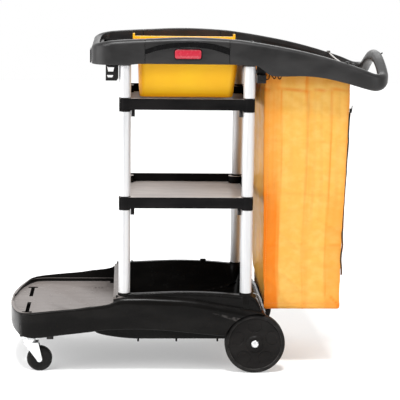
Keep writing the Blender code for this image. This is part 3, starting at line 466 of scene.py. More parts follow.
def sideways(made, x, y, z, side=1):
    """Turn a piece made about Z so that its axis lies along Y, its top facing the side."""
    turn = Matrix.Rotation(math.radians(-90.0 * side), 4, "X")
    made.data.transform(Matrix.Translation((x, y, z)) @ turn)
    return made


def moved(made, *offset):
    made.data.transform(Matrix.Translation(offset))
    return made


def cuboid(name, low, high):
    """A block between two corners, for Booleans and for bevelled details."""
    x, y, z = zip(low, high)
    verts = [(a, b, c) for a in x for b in y for c in z]
    faces = [(0, 1, 3, 2), (4, 6, 7, 5), (0, 4, 5, 1), (2, 3, 7, 6), (0, 2, 6, 4), (1, 5, 7, 3)]
    return build(name, verts, faces)


def side_blocks(sign, *ranges):
    """Blocks on one side, from ranges of X, Y and Z, with Y as distances from the middle."""
    made = []
    for x, y, z in ranges:
        low, high = sorted((sign * y[0], sign * y[1]))
        made.append(cuboid("block", (x[0], low, z[0]), (x[1], high, z[1])))
    return made


def bar(name, start, end, radius, segments=40, end_radius=None):
    """A round bar or cone between two points."""
    start = Vector(start)
    run = Vector(end) - start
    tip = radius if end_radius is None else end_radius
    made = lathe(name, [(0, 0), (radius, 0), (tip, run.length), (0, run.length)], segments)
    turn = Vector((0, 0, 1)).rotation_difference(run).to_matrix().to_4x4()
    made.data.transform(Matrix.Translation(start) @ turn)
    return made


def sheet_of(name, outline, thickness, y):
    """A flat plate in the XZ plane from (x, z) points, centred on y."""
    return loft(name, [[(x, y + k * thickness / 2, z) for x, z in outline] for k in (-1, 1)])


def tub(name, levels, steps=6):
    """A loft up Z through rounded rectangles: (z, front x, rear x, half width, radius)."""
    return loft(name, [[(x, y, z) for x, y in
                        rounded_rectangle((front, -half), (rear, half), radius, steps)]
                       for z, front, rear, half, radius in levels])


def baked(made):
    """Apply a piece's modifiers."""
    graph = bpy.context.evaluated_depsgraph_get()
    mesh = bpy.data.meshes.new_from_object(made.evaluated_get(graph))
    made.modifiers.clear()
    made.data = mesh
    return made


def combine(made, operation, others):
    """Union or subtract other shapes, which are used up."""
    for other in others:
        boolean = made.modifiers.new(operation.title(), "BOOLEAN")
        boolean.operation = operation
        boolean.solver = "EXACT"
        boolean.object = other
    baked(made)
    for other in others:
        bpy.data.objects.remove(other, do_unlink=True)
    return made


def join(name, parts):
    """Several loose shapes as one object."""
    bm = bmesh.new()
    for part in parts:
        bm.from_mesh(part.data)
        bpy.data.objects.remove(part, do_unlink=True)
    mesh = bpy.data.meshes.new(name)
    bm.to_mesh(mesh)
    bm.free()
    return placed(name, mesh)


def softened(made, width, segments=3):
    """Clean up after Booleans and round every sharp edge."""
    angle, flat = 32.0, 0.6
    bm = bmesh.new()
    bm.from_mesh(made.data)
    bmesh.ops.remove_doubles(bm, verts=bm.verts, dist=0.00002)
    bmesh.ops.dissolve_limit(bm, angle_limit=math.radians(flat), verts=bm.verts, edges=bm.edges,
                             use_dissolve_boundaries=False)
    bm.to_mesh(made.data)
    bm.free()
    shade(made, angle)
    rounding = made.modifiers.new("Rounding", "BEVEL")
    rounding.width = width
    rounding.segments = segments
    rounding.limit_method = "ANGLE"
    rounding.angle_limit = math.radians(angle)
    rounding.use_clamp_overlap = True
    rounding.harden_normals = True
    rounding.miter_outer = "MITER_ARC"
    return baked(made)


def show(made, look, node=None, body="cart"):
    """Give a piece its material, its body and the CAD node it stands for."""
    made.data.materials.clear()
    made.data.materials.append(look)
    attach(made, body)
    if node:
        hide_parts(node)
    return made


def from_node(node, look, body="cart", width=0.0012, segments=3):
    """A CAD node's own shape, with its edges rounded."""
    made = placed(node + "_fine", NODES[node].data.copy())
    if "custom_normal" in made.data.attributes:
        made.data.attributes.remove(made.data.attributes["custom_normal"])
    softened(made, width, segments)
    show(made, look, node, body)


def smoothed(path, steps, cyclic):
    """A denser path that passes smoothly through the points."""
    count = len(path)
    dense = []
    for i in range(count if cyclic else count - 1):
        p0 = path[i - 1] if cyclic or i else path[0]
        p1 = path[i]
        p2 = path[(i + 1) % count]
        p3 = path[(i + 2) % count] if cyclic or i + 2 < count else path[-1]
        for k in range(steps):
            t = k / steps
            dense.append(0.5 * (2 * p1 + (p2 - p0) * t + (2 * p0 - 5 * p1 + 4 * p2 - p3) * t**2
                                + (3 * p1 - p0 - 3 * p2 + p3) * t**3))
    return dense if cyclic else dense + [path[-1]]


def tube(name, points, radius, sides=12, smooth=0, cyclic=False):
    """A round wire through points, optionally smoothed through them."""
    path = [Vector(p) for p in points]
    if smooth:
        path = smoothed(path, smooth, cyclic)
    rings = []
    side = Vector((0.13, 0.97, 0.21)).normalized()
    for i, point in enumerate(path):
        if cyclic:
            along = path[(i + 1) % len(path)] - path[i - 1]
        else:
            along = path[min(i + 1, len(path) - 1)] - path[max(i - 1, 0)]
        along.normalize()
        side = (side - along * side.dot(along)).normalized()
        up = along.cross(side)
        rings.append([point + side * radius * c + up * radius * s for c, s in circle(sides)])
    return loft(name, rings, closed=cyclic, sharp=60.0)


# ---- base ---------------------------------------------------------------------------------
def base_ring(x, half, skirt, crest, radius):
    steps = 7
    ring = [(-half + 0.002, skirt), (half - 0.002, skirt), (half, skirt + 0.002)]
    ring += corner((half - radius, crest - radius), radius, 0, 90, steps)
    ring += corner((radius - half, crest - radius), radius, 90, 180, steps)
    ring.append((-half, skirt + 0.002))
    return [(x, y, z) for y, z in ring]


def base_hull():
    stations = [x for x, _ in BASE_PLAN[:3]] + spread(-0.612, -0.530, 14)
    stations += spread(-0.520, 0.225, 46) + [0.2305, 0.2355, 0.2395, 0.242]
    rings = []
    for x in stations:
        half = height_at(BASE_PLAN, x) - 0.006 * step(0.226, 0.246, x)
        radius = min(0.025, max(0.010, 0.010 + (x + 0.36) * 0.2))
        rings.append(base_ring(x, half, height_at(BASE_SKIRT, x), height_at(BASE_CREST, x),
                               radius))
    return loft("base_shell", rings)


def lip_ring(x, lip):
    """The tub's wall: a rounded edge over a shallow groove."""
    half = 0.2535
    side = [(half, 0.180), (half, lip - 0.0125), (half - 0.0022, lip - 0.0115),
            (half - 0.0022, lip - 0.0090), (half, lip - 0.0080)]
    side += corner((half - 0.0035, lip - 0.0035), 0.0035, 0, 90, 4)
    return [(x, y, z) for y, z in side] + [(x, -y, z) for y, z in reversed(side)]


def tub_and_belly():
    lips = [lip_ring(x, height_at(TUB_LIP, x)) for x in
            [-0.274, -0.268, -0.260, -0.250] + spread(-0.235, 0.185, 24)
            + [0.192, 0.198, 0.204, 0.210, 0.217, 0.224]]
    belly = []
    for x in spread(-0.358, -0.150, 16) + [0.0, 0.226]:
        z = height_at(BELLY, x)
        side = fillet([(0.2035, 0.185), (0.2035, z + 0.015), (0.197, z), (0.0, z)], 0.012)
        belly.append([(x, -b, c) for b, c in side] + [(x, b, c) for b, c in reversed(side[:-1])])
    return [loft("lip", lips), loft("belly", belly)]


def platform_recess():
    recess = []
    for x in [-0.6235, -0.6190, -0.6100, -0.6040, -0.5980, -0.5920, -0.5860, -0.5800, -0.5750,
              -0.5685, -0.5620, -0.5540, -0.5450, -0.5325, -0.5200] + spread(-0.50, -0.274, 10):
        half = height_at(BASE_PLAN, x - 0.009) - 0.007
        side = [(half - 0.006, PLATFORM_Z), (half - 0.0018, PLATFORM_Z + 0.0018),
                (half - 0.0006, PLATFORM_Z + 0.006), (half - 0.0004, PLATFORM_Z + 0.0125),
                (half + 0.0022, PLATFORM_Z + 0.0135), (half + 0.0026, 0.35)]
        recess.append([(x, -b, c) for b, c in reversed(side)] + [(x, b, c) for b, c in side])
    return loft("recess", recess)


def base_cuts():
    """The tub's cavity, the wheel wells and, on each side, slots above and pockets below."""
    cavity = tub("cavity", [(TUB_FLOOR_Z, -0.229, 0.161, 0.179, 0.020),
                            (TUB_FLOOR_Z + 0.0015, -0.2345, 0.1665, 0.1845, 0.024),
                            (TUB_FLOOR_Z + 0.0055, -0.2385, 0.1705, 0.1885, 0.026),
                            (TUB_FLOOR_Z + 0.012, -0.2405, 0.1730, 0.1910, 0.026),
                            (0.30, -0.262, 0.196, 0.241, 0.026)], 8)
    through, below = (0.1, 0.25), (0.05, 0.184)
    slots = [((-0.584, -0.550), (0.168, 0.184), through),
             ((-0.573, -0.560), (0.042, 0.1685), through)]
    slots += [((x, x + 0.0075), (0.166, 0.172), through) for x in (-0.345, -0.3335, -0.322)]
    pockets = [(x, y, below) for x in ((-0.604, -0.536), (-0.528, -0.462), (-0.454, -0.372))
               for y in ((0.004, 0.090), (0.098, 0.176))]
    pockets.append(((-0.454, -0.372), (0.184, 0.262), below))
    skirt_hollow = ((-0.290, 0.080), (0.2450, 0.2680), (0.05, 0.225))
    lip_slot = ((-0.135, -0.108), (0.2475, 0.2520), (0.2690, 0.30))
    front_slot = ((-0.293, -0.2725), (0.186, 0.214), (0.2030, 0.2190))
    cutters = [platform_recess(), cavity]
    for sign in SIDES.values():
        cutters.append(bar("well", (WHEEL_X, sign * 0.2090, WHEEL_R),
                           (WHEEL_X, sign * 0.2760, WHEEL_R), 0.106, 96))
        cutters += side_blocks(sign, *slots, *pockets, skirt_hollow, lip_slot, front_slot)
    cutters.append(bar("notch", (-0.640, 0.0, 0.184), (-0.6265, 0.0, 0.184), 0.0032, 20))
    return cutters


def base_extras():
    """Post sockets, and the blocks, feet, nubs and clips on each side."""
    socket = [(0, 0.205), (0.0222, 0.205), (0.0222, 0.258), (0.0213, 0.260),
              (0.0213, POST_FOOT_Z - 0.0010), (0.0207, POST_FOOT_Z - 0.0004),
              (0, POST_FOOT_Z - 0.0004)]
    axle_block = ((0.178, 0.224), (0.150, 0.2030), (0.086, 0.1245))
    caster_pad = ((-0.586, -0.524), (0.192, 0.248), (0.1238, 0.170))
    platform_foot = ((-0.499, -0.4765), (0.184, 0.204), (0.1025, 0.160))
    clips = [((x, x + 0.0055), (0.2440, 0.2590), (0.225, low + 0.0135))
             for x, low in ((-0.2655, 0.2560), (-0.2130, 0.2610))]
    extras = []
    for sign in SIDES.values():
        for x in POST_X.values():
            extras.append(moved(lathe("socket", socket, 48), x, sign * POST_Y, 0))
        extras += side_blocks(sign, axle_block, caster_pad, platform_foot)
        for x in (-0.190, -0.060, 0.080):
            extras.append(bar("nub", (x, sign * 0.186, UNDERSIDE_Z - 0.0105),
                              (x, sign * 0.186, UNDERSIDE_Z + 0.003), 0.0030, 20, 0.0036))
        extras += side_blocks(sign, *clips)
    extras.append(cuboid("lip_block", (0.040, 0.2440, 0.262), (0.061, 0.2515, 0.2815)))
    return extras


def make_base():
    shell = base_hull()
    combine(shell, "UNION", tub_and_belly())
    combine(shell, "DIFFERENCE", base_cuts())
    combine(shell, "UNION", base_extras())
    combine(shell, "DIFFERENCE", [bar("axle_bore", (WHEEL_X, -0.3, WHEEL_R),
                                      (WHEEL_X, 0.3, WHEEL_R), 0.0063, 32)])
    show(softened(shell, 0.0014), BASE_BLACK, "base_moulding")


def make_loops():
    """Two arched ribs at the tub's rear corners."""
    x = 0.1965
    for side, sign in SIDES.items():
        parts = []
        for reach, rise in ((0.0300, 0.0300), (0.0185, 0.0170)):
            points = [(x + reach * math.sin(angle), sign * 0.2035, 0.2330 + rise * math.cos(angle))
                      for angle in spread(0.0, math.pi / 2, 13)]
            parts.append(tube("loop", points + [(x + reach, sign * 0.2035, 0.2200)], 0.0013, 10))
        show(join("tub_loops_" + side, parts), GREY_WEB)


# ---- posts and shelves --------------------------------------------------------------------
def make_posts():
    """Three lengths of tube at each corner, each with a crimped bead at its ends."""
    stages = {"lower": (POST_FOOT_Z, SHELF_Z["lower"]),
              "middle": (SHELF_Z["lower"] + COLLAR_HEIGHT, SHELF_Z["upper"]),
              "upper": (SHELF_Z["upper"] + COLLAR_HEIGHT, POST_TOP_Z)}
    gap, bore, r = 0.0003, 0.0175, POST_R
    for stage, (low, high) in stages.items():
        low += gap
        high -= gap
        profile = [(bore, low), (r - 0.0010, low), (r - 0.0002, low + 0.0006), (r, low + 0.0016),
                   (r, high - 0.0016), (r - 0.0002, high - 0.0006), (r - 0.0010, high),
                   (bore, high)]
        for end, x in POST_X.items():
            for side, sign in SIDES.items():
                made = lathe(f"tube_{stage}_{end}_{side}", profile, 72, closed=True)
                moved(made, x, sign * POST_Y, 0)
                show(made, ALUMINIUM, f"post_{stage}_{end}_{side}")


def make_shelf(level):
    """A tray with a rolled rim, corner collars, bosses, gussets and a ribbed underside."""
    low = SHELF_Z[level]
    top = low + COLLAR_HEIGHT
    front = POST_X["front"] - 0.0165
    rear = POST_X["rear"] + 0.0165
    half = POST_Y + 0.0165
    floor = low + 0.014
    wall = 0.0045
    made = cuboid(f"{level}_shelf_tray", (front, -half, low + 0.0065), (rear, half, top - 0.002))
    cutters = [tub("inside", [(z, front + inset, rear - inset, half - inset, radius)
                              for z, inset, radius in (
                                  (floor, 0.012, 0.004), (floor + 0.0008, 0.0075, 0.006),
                                  (floor + 0.0035, wall, 0.007), (top + 0.02, wall, 0.007))], 5)]
    for x in ((front + 0.045, -0.1085), (-0.1035, 0.0345), (0.0395, rear - 0.045)):
        for y in ((-half + 0.045, -0.0725), (-0.0675, 0.0675), (0.0725, half - 0.045)):
            cutters.append(cuboid("cell", (x[0], y[0], low - 0.02), (x[1], y[1], low + 0.0105)))
    combine(made, "DIFFERENCE", cutters)
    collar = [(0, low), (0.0187, low), (POST_R, low + 0.0008), (POST_R, low + 0.0045),
              (POST_R - 0.0007, low + 0.0050), (POST_R - 0.0007, low + 0.0062),
              (POST_R, low + 0.0067), (POST_R, top - 0.0008), (0.0187, top), (0, top)]
    extras = []
    for sign in SIDES.values():
        y = sign * POST_Y
        for end, x in POST_X.items():
            inward = 1 if end == "front" else -1
            extras.append(moved(lathe("collar", collar, 72), x, y, 0))
            extras.append(bar("boss", (x + inward * 0.008, y - sign * 0.008, low + 0.004),
                              (x + inward * 0.008, y - sign * 0.008, top - 0.006), 0.024, 48))
            gusset = sorted((x + inward * 0.0205, x + inward * 0.0325))
            extras += side_blocks(sign, (gusset, (0.228, 0.240), (low - 0.017, low + 0.010)))
    combine(made, "UNION", extras)
    show(softened(made, 0.0011), SHELF_BLACK, f"shelf_{level}")


# ---- deck ---------------------------------------------------------------------------------
def deck_section(centre, along, width, height, radii, steps=6):
    """A section with rounded corners: outer-bottom, inner-bottom, inner-top, outer-top."""
    right = along.cross(Vector((0, 0, 1))).normalized()
    up = right.cross(along).normalized()
    outer_low, inner_low, inner_top, outer_top = radii
    flat = corner((width - outer_low, outer_low - height), outer_low, 0, -90, steps)
    flat += corner((inner_low - width, inner_low - height), inner_low, -90, -180, steps)
    flat += corner((inner_top - width, height - inner_top), inner_top, 180, 90, steps)
    flat += corner((width - outer_top, height - outer_top), outer_top, 90, 0, steps)
    return [centre + right * u + up * v for u, v in flat]


def deck_sweep(name, stations, pitch=0.009):
    """Sweep sections along stations of (x, y, z, half width, half height, 4 radii, tilt)."""
    table = np.array(stations, float)
    run = np.concatenate([[0], np.cumsum(np.linalg.norm(np.diff(table[:, :3], axis=0), axis=1))])
    places = [list(zip(run, table[:, k])) for k in range(table.shape[1])]
    count = int(run[-1] / pitch)
    fine = [[height_at(column, s) for column in places] for s in spread(0.0, run[-1], count)]
    rings = []
    for i, row in enumerate(fine):
        centre = Vector(row[:3])
        along = (Vector(fine[min(i + 1, count - 1)][:3]) - Vector(fine[max(i - 1, 0)][:3]))
        along.z *= min(1.0, max(0.0, row[9]))
        limit = min(row[3], row[4]) * 0.999
        radii = [min(r, limit) for r in row[5:9]]
        rings.append(deck_section(centre, along, row[3], row[4], radii))
    return loft(name, rings)


def fascia(x, y, width=0.017, top=None):
    low = height_at(DECK_BOTTOM, x)
    high = height_at(DECK_TOP, x) if top is None else top
    return (x, y, (low + high) / 2, width, (high - low) / 2, 0.003, 0.003, 0.004, 0.018, 0.0)


def flipped(stations):
    return [(row[0], -row[1], *row[2:]) for row in stations]


def deck_posts(x):
    """Collars over the top tubes."""
    collar = [(0, POST_TOP_Z + 0.0003), (0.0187, POST_TOP_Z + 0.0003),
              (POST_R, POST_TOP_Z + 0.0010), (POST_R, 1.060), (0, 1.060)]
    return [moved(lathe("collar", collar, 48), x, sign * POST_Y, 0) for sign in SIDES.values()]


def make_front_cap():
    turn = 0.050
    front = -0.335
    half = [fascia(x, -DECK_MID_Y) for x in (SEAMS[0] - SEAM_HALF, -0.195, -0.215, -0.235, -0.258,
                                             -0.272)]
    for k, (x, y) in enumerate(corner((front + turn, turn - DECK_MID_Y), turn, -90, -180, 6)):
        half.append(fascia(x, y, 0.017 - 0.0006 * k, height_at(DECK_TOP, x) - 0.0005 * k))
    half += [fascia(front, -0.130, 0.012, 1.0995), fascia(front, -0.080, 0.012, 1.099)]
    middle = [fascia(front - 0.001, 0.0, 0.012, 1.098)]
    made = deck_sweep("deck_front", flipped(half) + middle + half[::-1])
    combine(made, "UNION", deck_posts(POST_X["front"]))
    show(softened(made, 0.0012), DECK_BLACK, "front_cap")


def arch_outline(widen=0.0):
    """The recessed arch across the middle panel, thinning out past both seams."""
    outer = [(-0.173, 1.087), (-0.126, 1.102), (-0.078, 1.1085), (-0.029, 1.112),
             (0.012, 1.1105), (0.052, 1.106), (0.094, 1.095), (0.101, 1.0925)]
    inner = [(-0.173, 1.071), (-0.126, 1.085), (-0.078, 1.092), (-0.029, 1.095),
             (0.012, 1.0925), (0.052, 1.086), (0.094, 1.073), (0.101, 1.0705)]
    return [(x, height_at(outer, x) + widen) for x in spread(-0.1732, 0.1002, 33)] \
        + [(x, height_at(inner, x) - widen) for x in spread(0.1002, -0.1732, 33)]


def make_side_panel(side):
    sign = SIDES[side]
    stations = [fascia(x, -DECK_MID_Y) for x in (SEAMS[0] + SEAM_HALF, -0.130, -0.080, -0.034,
                                                 0.010, 0.060, SEAMS[1] - SEAM_HALF)]
    if sign > 0:
        stations = flipped(stations)[::-1]
    made = deck_sweep("deck_panel_" + side, stations)
    combine(made, "DIFFERENCE", [sheet_of("cut", arch_outline(), 0.0064, sign * DECK_OUTER_Y)])
    show(softened(made, 0.0008), DECK_BLACK, f"side_panel_{side}")
    # A near-black sheet lining the arch's recess: painted shade for the undercut.
    shade_inlay = sheet_of("arch_shade_inlay_" + side, arch_outline(-0.0006), 0.0022,
                     sign * (DECK_OUTER_Y - 0.0018))
    show(softened(shade_inlay, 0.0004, 2), BLACK_AND_ARCH_SHADE)


def make_handle():
    half = [fascia(x, -DECK_MID_Y) for x in (SEAMS[1] + SEAM_HALF, 0.135, 0.165, 0.180, 0.194,
                                             0.203, 0.214, 0.228, 0.245, 0.272, 0.300, 0.332,
                                             0.365, 0.398, 0.430, 0.462, 0.495, 0.520, 0.545)]
    grip = 0.0170
    for x, y, z, width, height, radius, tilt in (
            (0.5800, -0.2410, 0.9845, 0.0172, 0.0285, 0.0150, 0.0),
            (0.6010, -0.2300, 0.9855, 0.0172, 0.0270, 0.0165, 0.2),
            (0.6130, -0.2070, 0.9930, 0.0172, 0.0225, grip, 0.6),
            (0.6165, -0.1720, 1.0100, grip, 0.0195, grip, 1.0),
            (0.6175, -0.1310, 1.0275, grip, 0.0185, grip, 1.0),
            (0.6178, -0.0850, 1.0425, grip, 0.0190, grip, 1.0),
            (0.6180, -0.0420, 1.0505, grip, 0.0200, grip, 1.0)):
        half.append((x, y, z, width, height, radius, radius, radius, radius, tilt))
    middle = [(0.6180, 0.0, 1.0525, grip, 0.0205, grip, grip, grip, grip, 1.0)]
    made = deck_sweep("push_handle", half + middle + flipped(half)[::-1])
    combine(made, "UNION", deck_posts(POST_X["rear"]))
    arm = [(x, height_at(DECK_TOP, x) - 0.016) for x in spread(0.250, 0.545, 20)]
    arm += [(x, height_at(DECK_BOTTOM, x) + 0.013) for x in spread(0.545, 0.250, 20)]
    cutters = []
    for sign in SIDES.values():
        cutters.append(bar("peg_hole", (PEG_X, sign * PEG_Y, 1.034), (PEG_X, sign * PEG_Y, 1.070),
                           0.0048, 24))
        cutters.append(sheet_of("arm_hollow", arm, 0.0050, sign * DECK_INNER_Y))
    combine(made, "DIFFERENCE", cutters)
    combine(made, "UNION", [bar("nub", (0.628, -0.040, 1.060), (0.6385, -0.040, 1.0665), 0.0030,
                                20, 0.0022)])
    show(softened(made, 0.0012), DECK_BLACK, "handle_frame")


def make_tray():
    """The tray inside the deck, with ribbed pocket floors."""
    from_node("deck_tray", DECK_BLACK, width=0.0016)
    ribs = []
    for sign in SIDES.values():
        for k in range(15):
            y = 0.013 + 0.0120 * k
            ribs += side_blocks(sign, ((-0.3085, -0.2645), (y, y + 0.0022), (1.0422, 1.0475)))
    for k in range(16):
        y = -0.196 + 0.026 * k
        for front, rear in ((-0.2540, -0.2150), (0.1580, 0.2075)):
            ribs.append(cuboid("rib", (front, y, 1.0422), (rear, y + 0.0022, 1.0460)))
    show(softened(join("deck_pocket_ribs", ribs), 0.0006, 2), SHELF_BLACK)


def make_seams():
    """The dark gaskets between the deck's mouldings."""
    radii = (0.003, 0.003, 0.004, 0.017)
    for place, x in zip(("front", "rear"), SEAMS):
        for side, sign in SIDES.items():
            rings = []
            for dx in (-0.0009, 0.0009):
                row = fascia(x + dx, -DECK_MID_Y)
                section = deck_section(Vector(row[:3]), Vector((1, 0, 0)), row[3] - 0.0012,
                                       row[4] - 0.0012, radii)
                rings.append([Vector((p.x, -sign * p.y, p.z)) for p in section])
            show(loft(f"deck_gasket_{place}_{side}", rings), BLACK_AND_ARCH_SHADE)


def badge_ring(sign, grow, out, radius):
    """The badge's outline, grown sideways and raised from the deck."""
    outline = rounded_rectangle((-0.0775 - grow, 1.0570 - grow), (0.0085 + grow, 1.0880 + grow),
                                radius, 8)
    return [(x, sign * (DECK_OUTER_Y + out), z) for x, z in outline]


def make_badge(side):
    """A domed badge on a slightly larger dark surround, with no lettering."""
    sign = SIDES[side]
    rings = [badge_ring(sign, grow, out, 0.008 + grow) for grow, out in (
        (0.0030, 0.0001), (0.0030, 0.0010), (0.0022, 0.0018), (0.0004, 0.0020),
        (-0.0002, 0.0012))]
    show(loft("badge_surround_" + side, rings), BLACK_AND_ARCH_SHADE)
    rings = [badge_ring(sign, -inset, out, max(0.0025, 0.008 - inset)) for inset, out in (
        (0.0003, 0.0004), (0.0003, 0.0019), (0.0009, 0.0025), (0.0024, 0.0027), (0.0030, 0.0023),
        (0.0036, 0.0023), (0.0052, 0.0028), (0.0110, 0.0031))]
    show(loft("badge_plate_" + side, rings, sharp=60.0), RED, "badge_" + side)


# ---- bin ----------------------------------------------------------------------------------
def bin_level(z, inset, radius):
    """One level of the bin's taper, as tub() takes it."""
    t = (z - BIN_Z[0]) / (BIN_Z[1] - BIN_Z[0])
    front, rear, half = (low + t * (high - low) for low, high in zip(BIN_LOW, BIN_HIGH))
    return (z, front + inset, rear - inset, half - inset, radius)


def make_bin():
    """A tapered bin with rounded edges, a rolled rim and a small draft step."""
    bottom, top = BIN_Z
    wall = 0.003
    outer = [(bottom, 0.0080, 0.012), (bottom + 0.0010, 0.0038, 0.016),
             (bottom + 0.0032, 0.0012, 0.019), (bottom + 0.0075, 0.0, 0.021)]
    outer += [(z, 0.0, 0.021 + 0.03 * (z - bottom)) for z in spread(0.940, 1.080, 8)]
    outer.append((top, 0.0, 0.026))
    inner = [(bottom + wall, 0.0110, 0.010), (bottom + wall + 0.0012, 0.0062, 0.014),
             (bottom + wall + 0.005, wall + 0.0005, 0.018), (bottom + wall + 0.010, wall, 0.018),
             (1.080, wall, 0.0225), (top - 0.0015, wall, 0.023),
             (top + 0.0003, wall - 0.0015, 0.0245), (top + 0.003, wall - 0.0015, 0.0245)]
    front, rear, half = BIN_HIGH
    flange = [(z, front - grow, rear + grow, min(0.2215, half + grow * 0.52), 0.013)
              for z, grow in ((1.0863, 0.0105), (1.0870, 0.0120), (1.0885, 0.0125),
                              (1.0897, 0.0120), (1.0903, 0.0105))]
    shell = tub("yellow_bin", [bin_level(*level) for level in outer], 9)
    combine(shell, "UNION", [tub("flange", flange, 9)])
    combine(shell, "DIFFERENCE", [tub("inside", [bin_level(*level) for level in inner], 9)])
    combine(shell, "DIFFERENCE", [bar("pivot", (-0.23, 0, 1.072), (0.16, 0, 1.072), 0.0038, 24)])
    show(softened(shell, 0.0007, 2), YELLOW, "bin", "bin")


# ---- rear wheels --------------------------------------------------------------------------
def pocket_depth(r, angle):
    """How deep the wheel's face is cut at a polar point: five curved pockets and two rings."""
    depth = 0.0
    turn = TAU / 5
    local = (angle + math.radians(18)) % turn - turn / 2
    x = r * math.cos(local) - 0.060
    y = r * math.sin(local)
    away = math.hypot(x * 1.15, y)
    arc = abs(away - 0.0235)
    if x < 0.012:
        depth += 0.0022 * (1 - step(0.0010, 0.0034, arc))
    depth += 0.0016 * (1 - step(0.0180, 0.0215, away)) * step(-0.030, -0.024, x)
    depth += 0.0010 * (1 - step(0.0004, 0.0016, abs(r - 0.0300)))
    depth += 0.0014 * (1 - step(0.0004, 0.0018, abs(r - 0.0868)))
    return depth


def hub_height(r, width):
    """Height of the wheel's face: set back round the raised middle, and up again at the tyre."""
    return width - 0.005 * step(0.0215, 0.0285, r) + 0.0012 * step(0.084, 0.0875, r)


def make_wheel(side):
    sign = SIDES[side]
    width = WHEEL_Y[1] - WHEEL_Y[0]
    body = "rear_wheel_" + side
    seat = 0.0885
    tread = [(seat + 0.0003, 0.0022), (seat + 0.0003, width - 0.0022), (0.0905, width - 0.0012),
             (0.0925, width - 0.0004), (0.0955, width)]
    tread += corner((0.0945, width - 0.0071), 0.0071, 80, 6, 6)
    tread += [(WHEEL_R, width - 0.0095), (WHEEL_R, 0.0095)]
    tread += corner((0.0945, 0.0071), 0.0071, -6, -80, 6)
    tread += [(0.0955, 0.0), (0.0925, 0.0004), (0.0905, 0.0012)]
    tyre = lathe("tyre_" + side, tread, 128, closed=True)
    sideways(tyre, WHEEL_X, sign * WHEEL_Y[0], WHEEL_R, sign)
    show(tyre, RUBBER, "rear_tyre_" + side, body)

    segments = 200
    radii = [0.0066, 0.0080, 0.0120, 0.0160, 0.0200, 0.0218, 0.0232, 0.0255, 0.0280]
    radii += spread(0.0292, 0.0878, 46) + [seat]
    verts = []
    for r in radii:
        for k, (c, s) in enumerate(circle(segments)):
            cut = pocket_depth(r, TAU * k / segments) if r > 0.0285 else 0.0
            verts.append((r * c, r * s, hub_height(r, width) - cut))
    back = [(seat, 0.010), (0.060, 0.0095), (0.028, 0.010), (0.022, 0.0), (0.0066, 0.0)]
    verts += [(r * c, r * s, h) for r, h in back for c, s in circle(segments)]
    faces = quads(len(radii) + len(back), segments, closed=True)
    hub = build("wheel_disc_" + side, verts, faces, 50.0)
    sideways(hub, WHEEL_X, sign * WHEEL_Y[0], WHEEL_R, sign)
    show(hub, HUB_BLACK, "rear_hub_" + side, body)

    cap = lathe("cap_" + side, [(0, 0.0070), (0.0030, 0.0069), (0.0042, 0.0060), (0.0052, 0.0062),
                                (0.0080, 0.0056), (0.0100, 0.0044), (0.0115, 0.0032),
                                (0.0120, 0.0016), (0.0127, 0.0010), (0.0127, 0.0), (0, 0.0)])
    sideways(cap, WHEEL_X, sign * (WHEEL_Y[1] + 0.0006), WHEEL_R, sign)
    show(cap, ZINC, "axle_cap_" + side)


def make_axle():
    end = WHEEL_Y[1] + 0.0003
    made = lathe("axle_shaft", [(0, -end), (0.0052, -end), (0.0060, 0.001 - end),
                                (0.0060, end - 0.001), (0.0052, end), (0, end)], 40)
    sideways(made, WHEEL_X, 0.0, WHEEL_R)
    show(made, ZINC, "rear_axle")


# ---- casters ------------------------------------------------------------------------------
def make_caster(side):
    x, y = CASTER_X, SIDES[side] * CASTER_Y
    axle_x = x + CASTER_TRAIL
    top = cuboid("caster_top_" + side, (x - 0.029, y - 0.026, 0.1205),
                 (x + 0.029, y + 0.026, 0.1235))
    race = lathe("race", [(0, 0.1125), (0.0200, 0.1125), (0.0215, 0.1140), (0.0215, 0.1158),
                          (0.0200, 0.1168), (0.0205, 0.1180), (0.0225, 0.1192), (0.0225, 0.1215),
                          (0, 0.1215)])
    pin = bar("pin", (x, y, 0.0975), (x, y, 0.115), 0.0045, 24)
    combine(top, "UNION", [moved(race, x, y, 0), pin])
    show(softened(top, 0.0006, 2), ZINC, "caster_plate_" + side)
    screw = [(0, 0.1180), (0.0030, 0.1180), (0.0034, 0.1186), (0.0034, 0.1204), (0, 0.1204)]
    screws = [moved(lathe("head", screw, 6), x + dx, y + dy, 0)
              for dx in (-0.0235, 0.0235) for dy in (-0.0205, 0.0205)]
    show(softened(join("plate_screws_" + side, screws), 0.0003, 2), ZINC)
    from_node("caster_fork_" + side, ZINC, "caster_" + side, 0.0006, 2)

    w = 0.014
    half = [(0.0043, 0.0160), (0.0105, 0.0160), (0.0112, 0.0152), (0.0125, 0.0132),
            (0.0170, 0.0122), (0.0300, 0.0122), (0.0320, 0.0132), (0.0345, w - 0.0002),
            (0.0365, w - 0.0006)]
    half += corner((CASTER_R - 0.0075, w - 0.0080), 0.0075, 75, 8, 6)
    outline = half + [(r, -h) for r, h in reversed(half)]
    wheel = lathe("caster_roller_" + side, outline, 96, closed=True)
    sideways(wheel, axle_x, y, CASTER_R)
    show(wheel, RUBBER, "caster_wheel_" + side, "caster_wheel_" + side)

    bolt_head = [(0, 0.0198), (0.0058, 0.0198), (0.0065, 0.0204), (0.0065, 0.0225),
                 (0.0056, 0.0235), (0, 0.0235)]
    bolt = [bar("shank", (axle_x, y - 0.0210, CASTER_R), (axle_x, y + 0.0210, CASTER_R), 0.0040,
                24)]
    for end in (-1, 1):
        bolt.append(sideways(lathe("head", bolt_head, 6), axle_x, y, CASTER_R, end))
    show(softened(join("caster_axle_" + side, bolt), 0.0003, 2), ZINC,
         "caster_bolt_" + side, "caster_" + side)


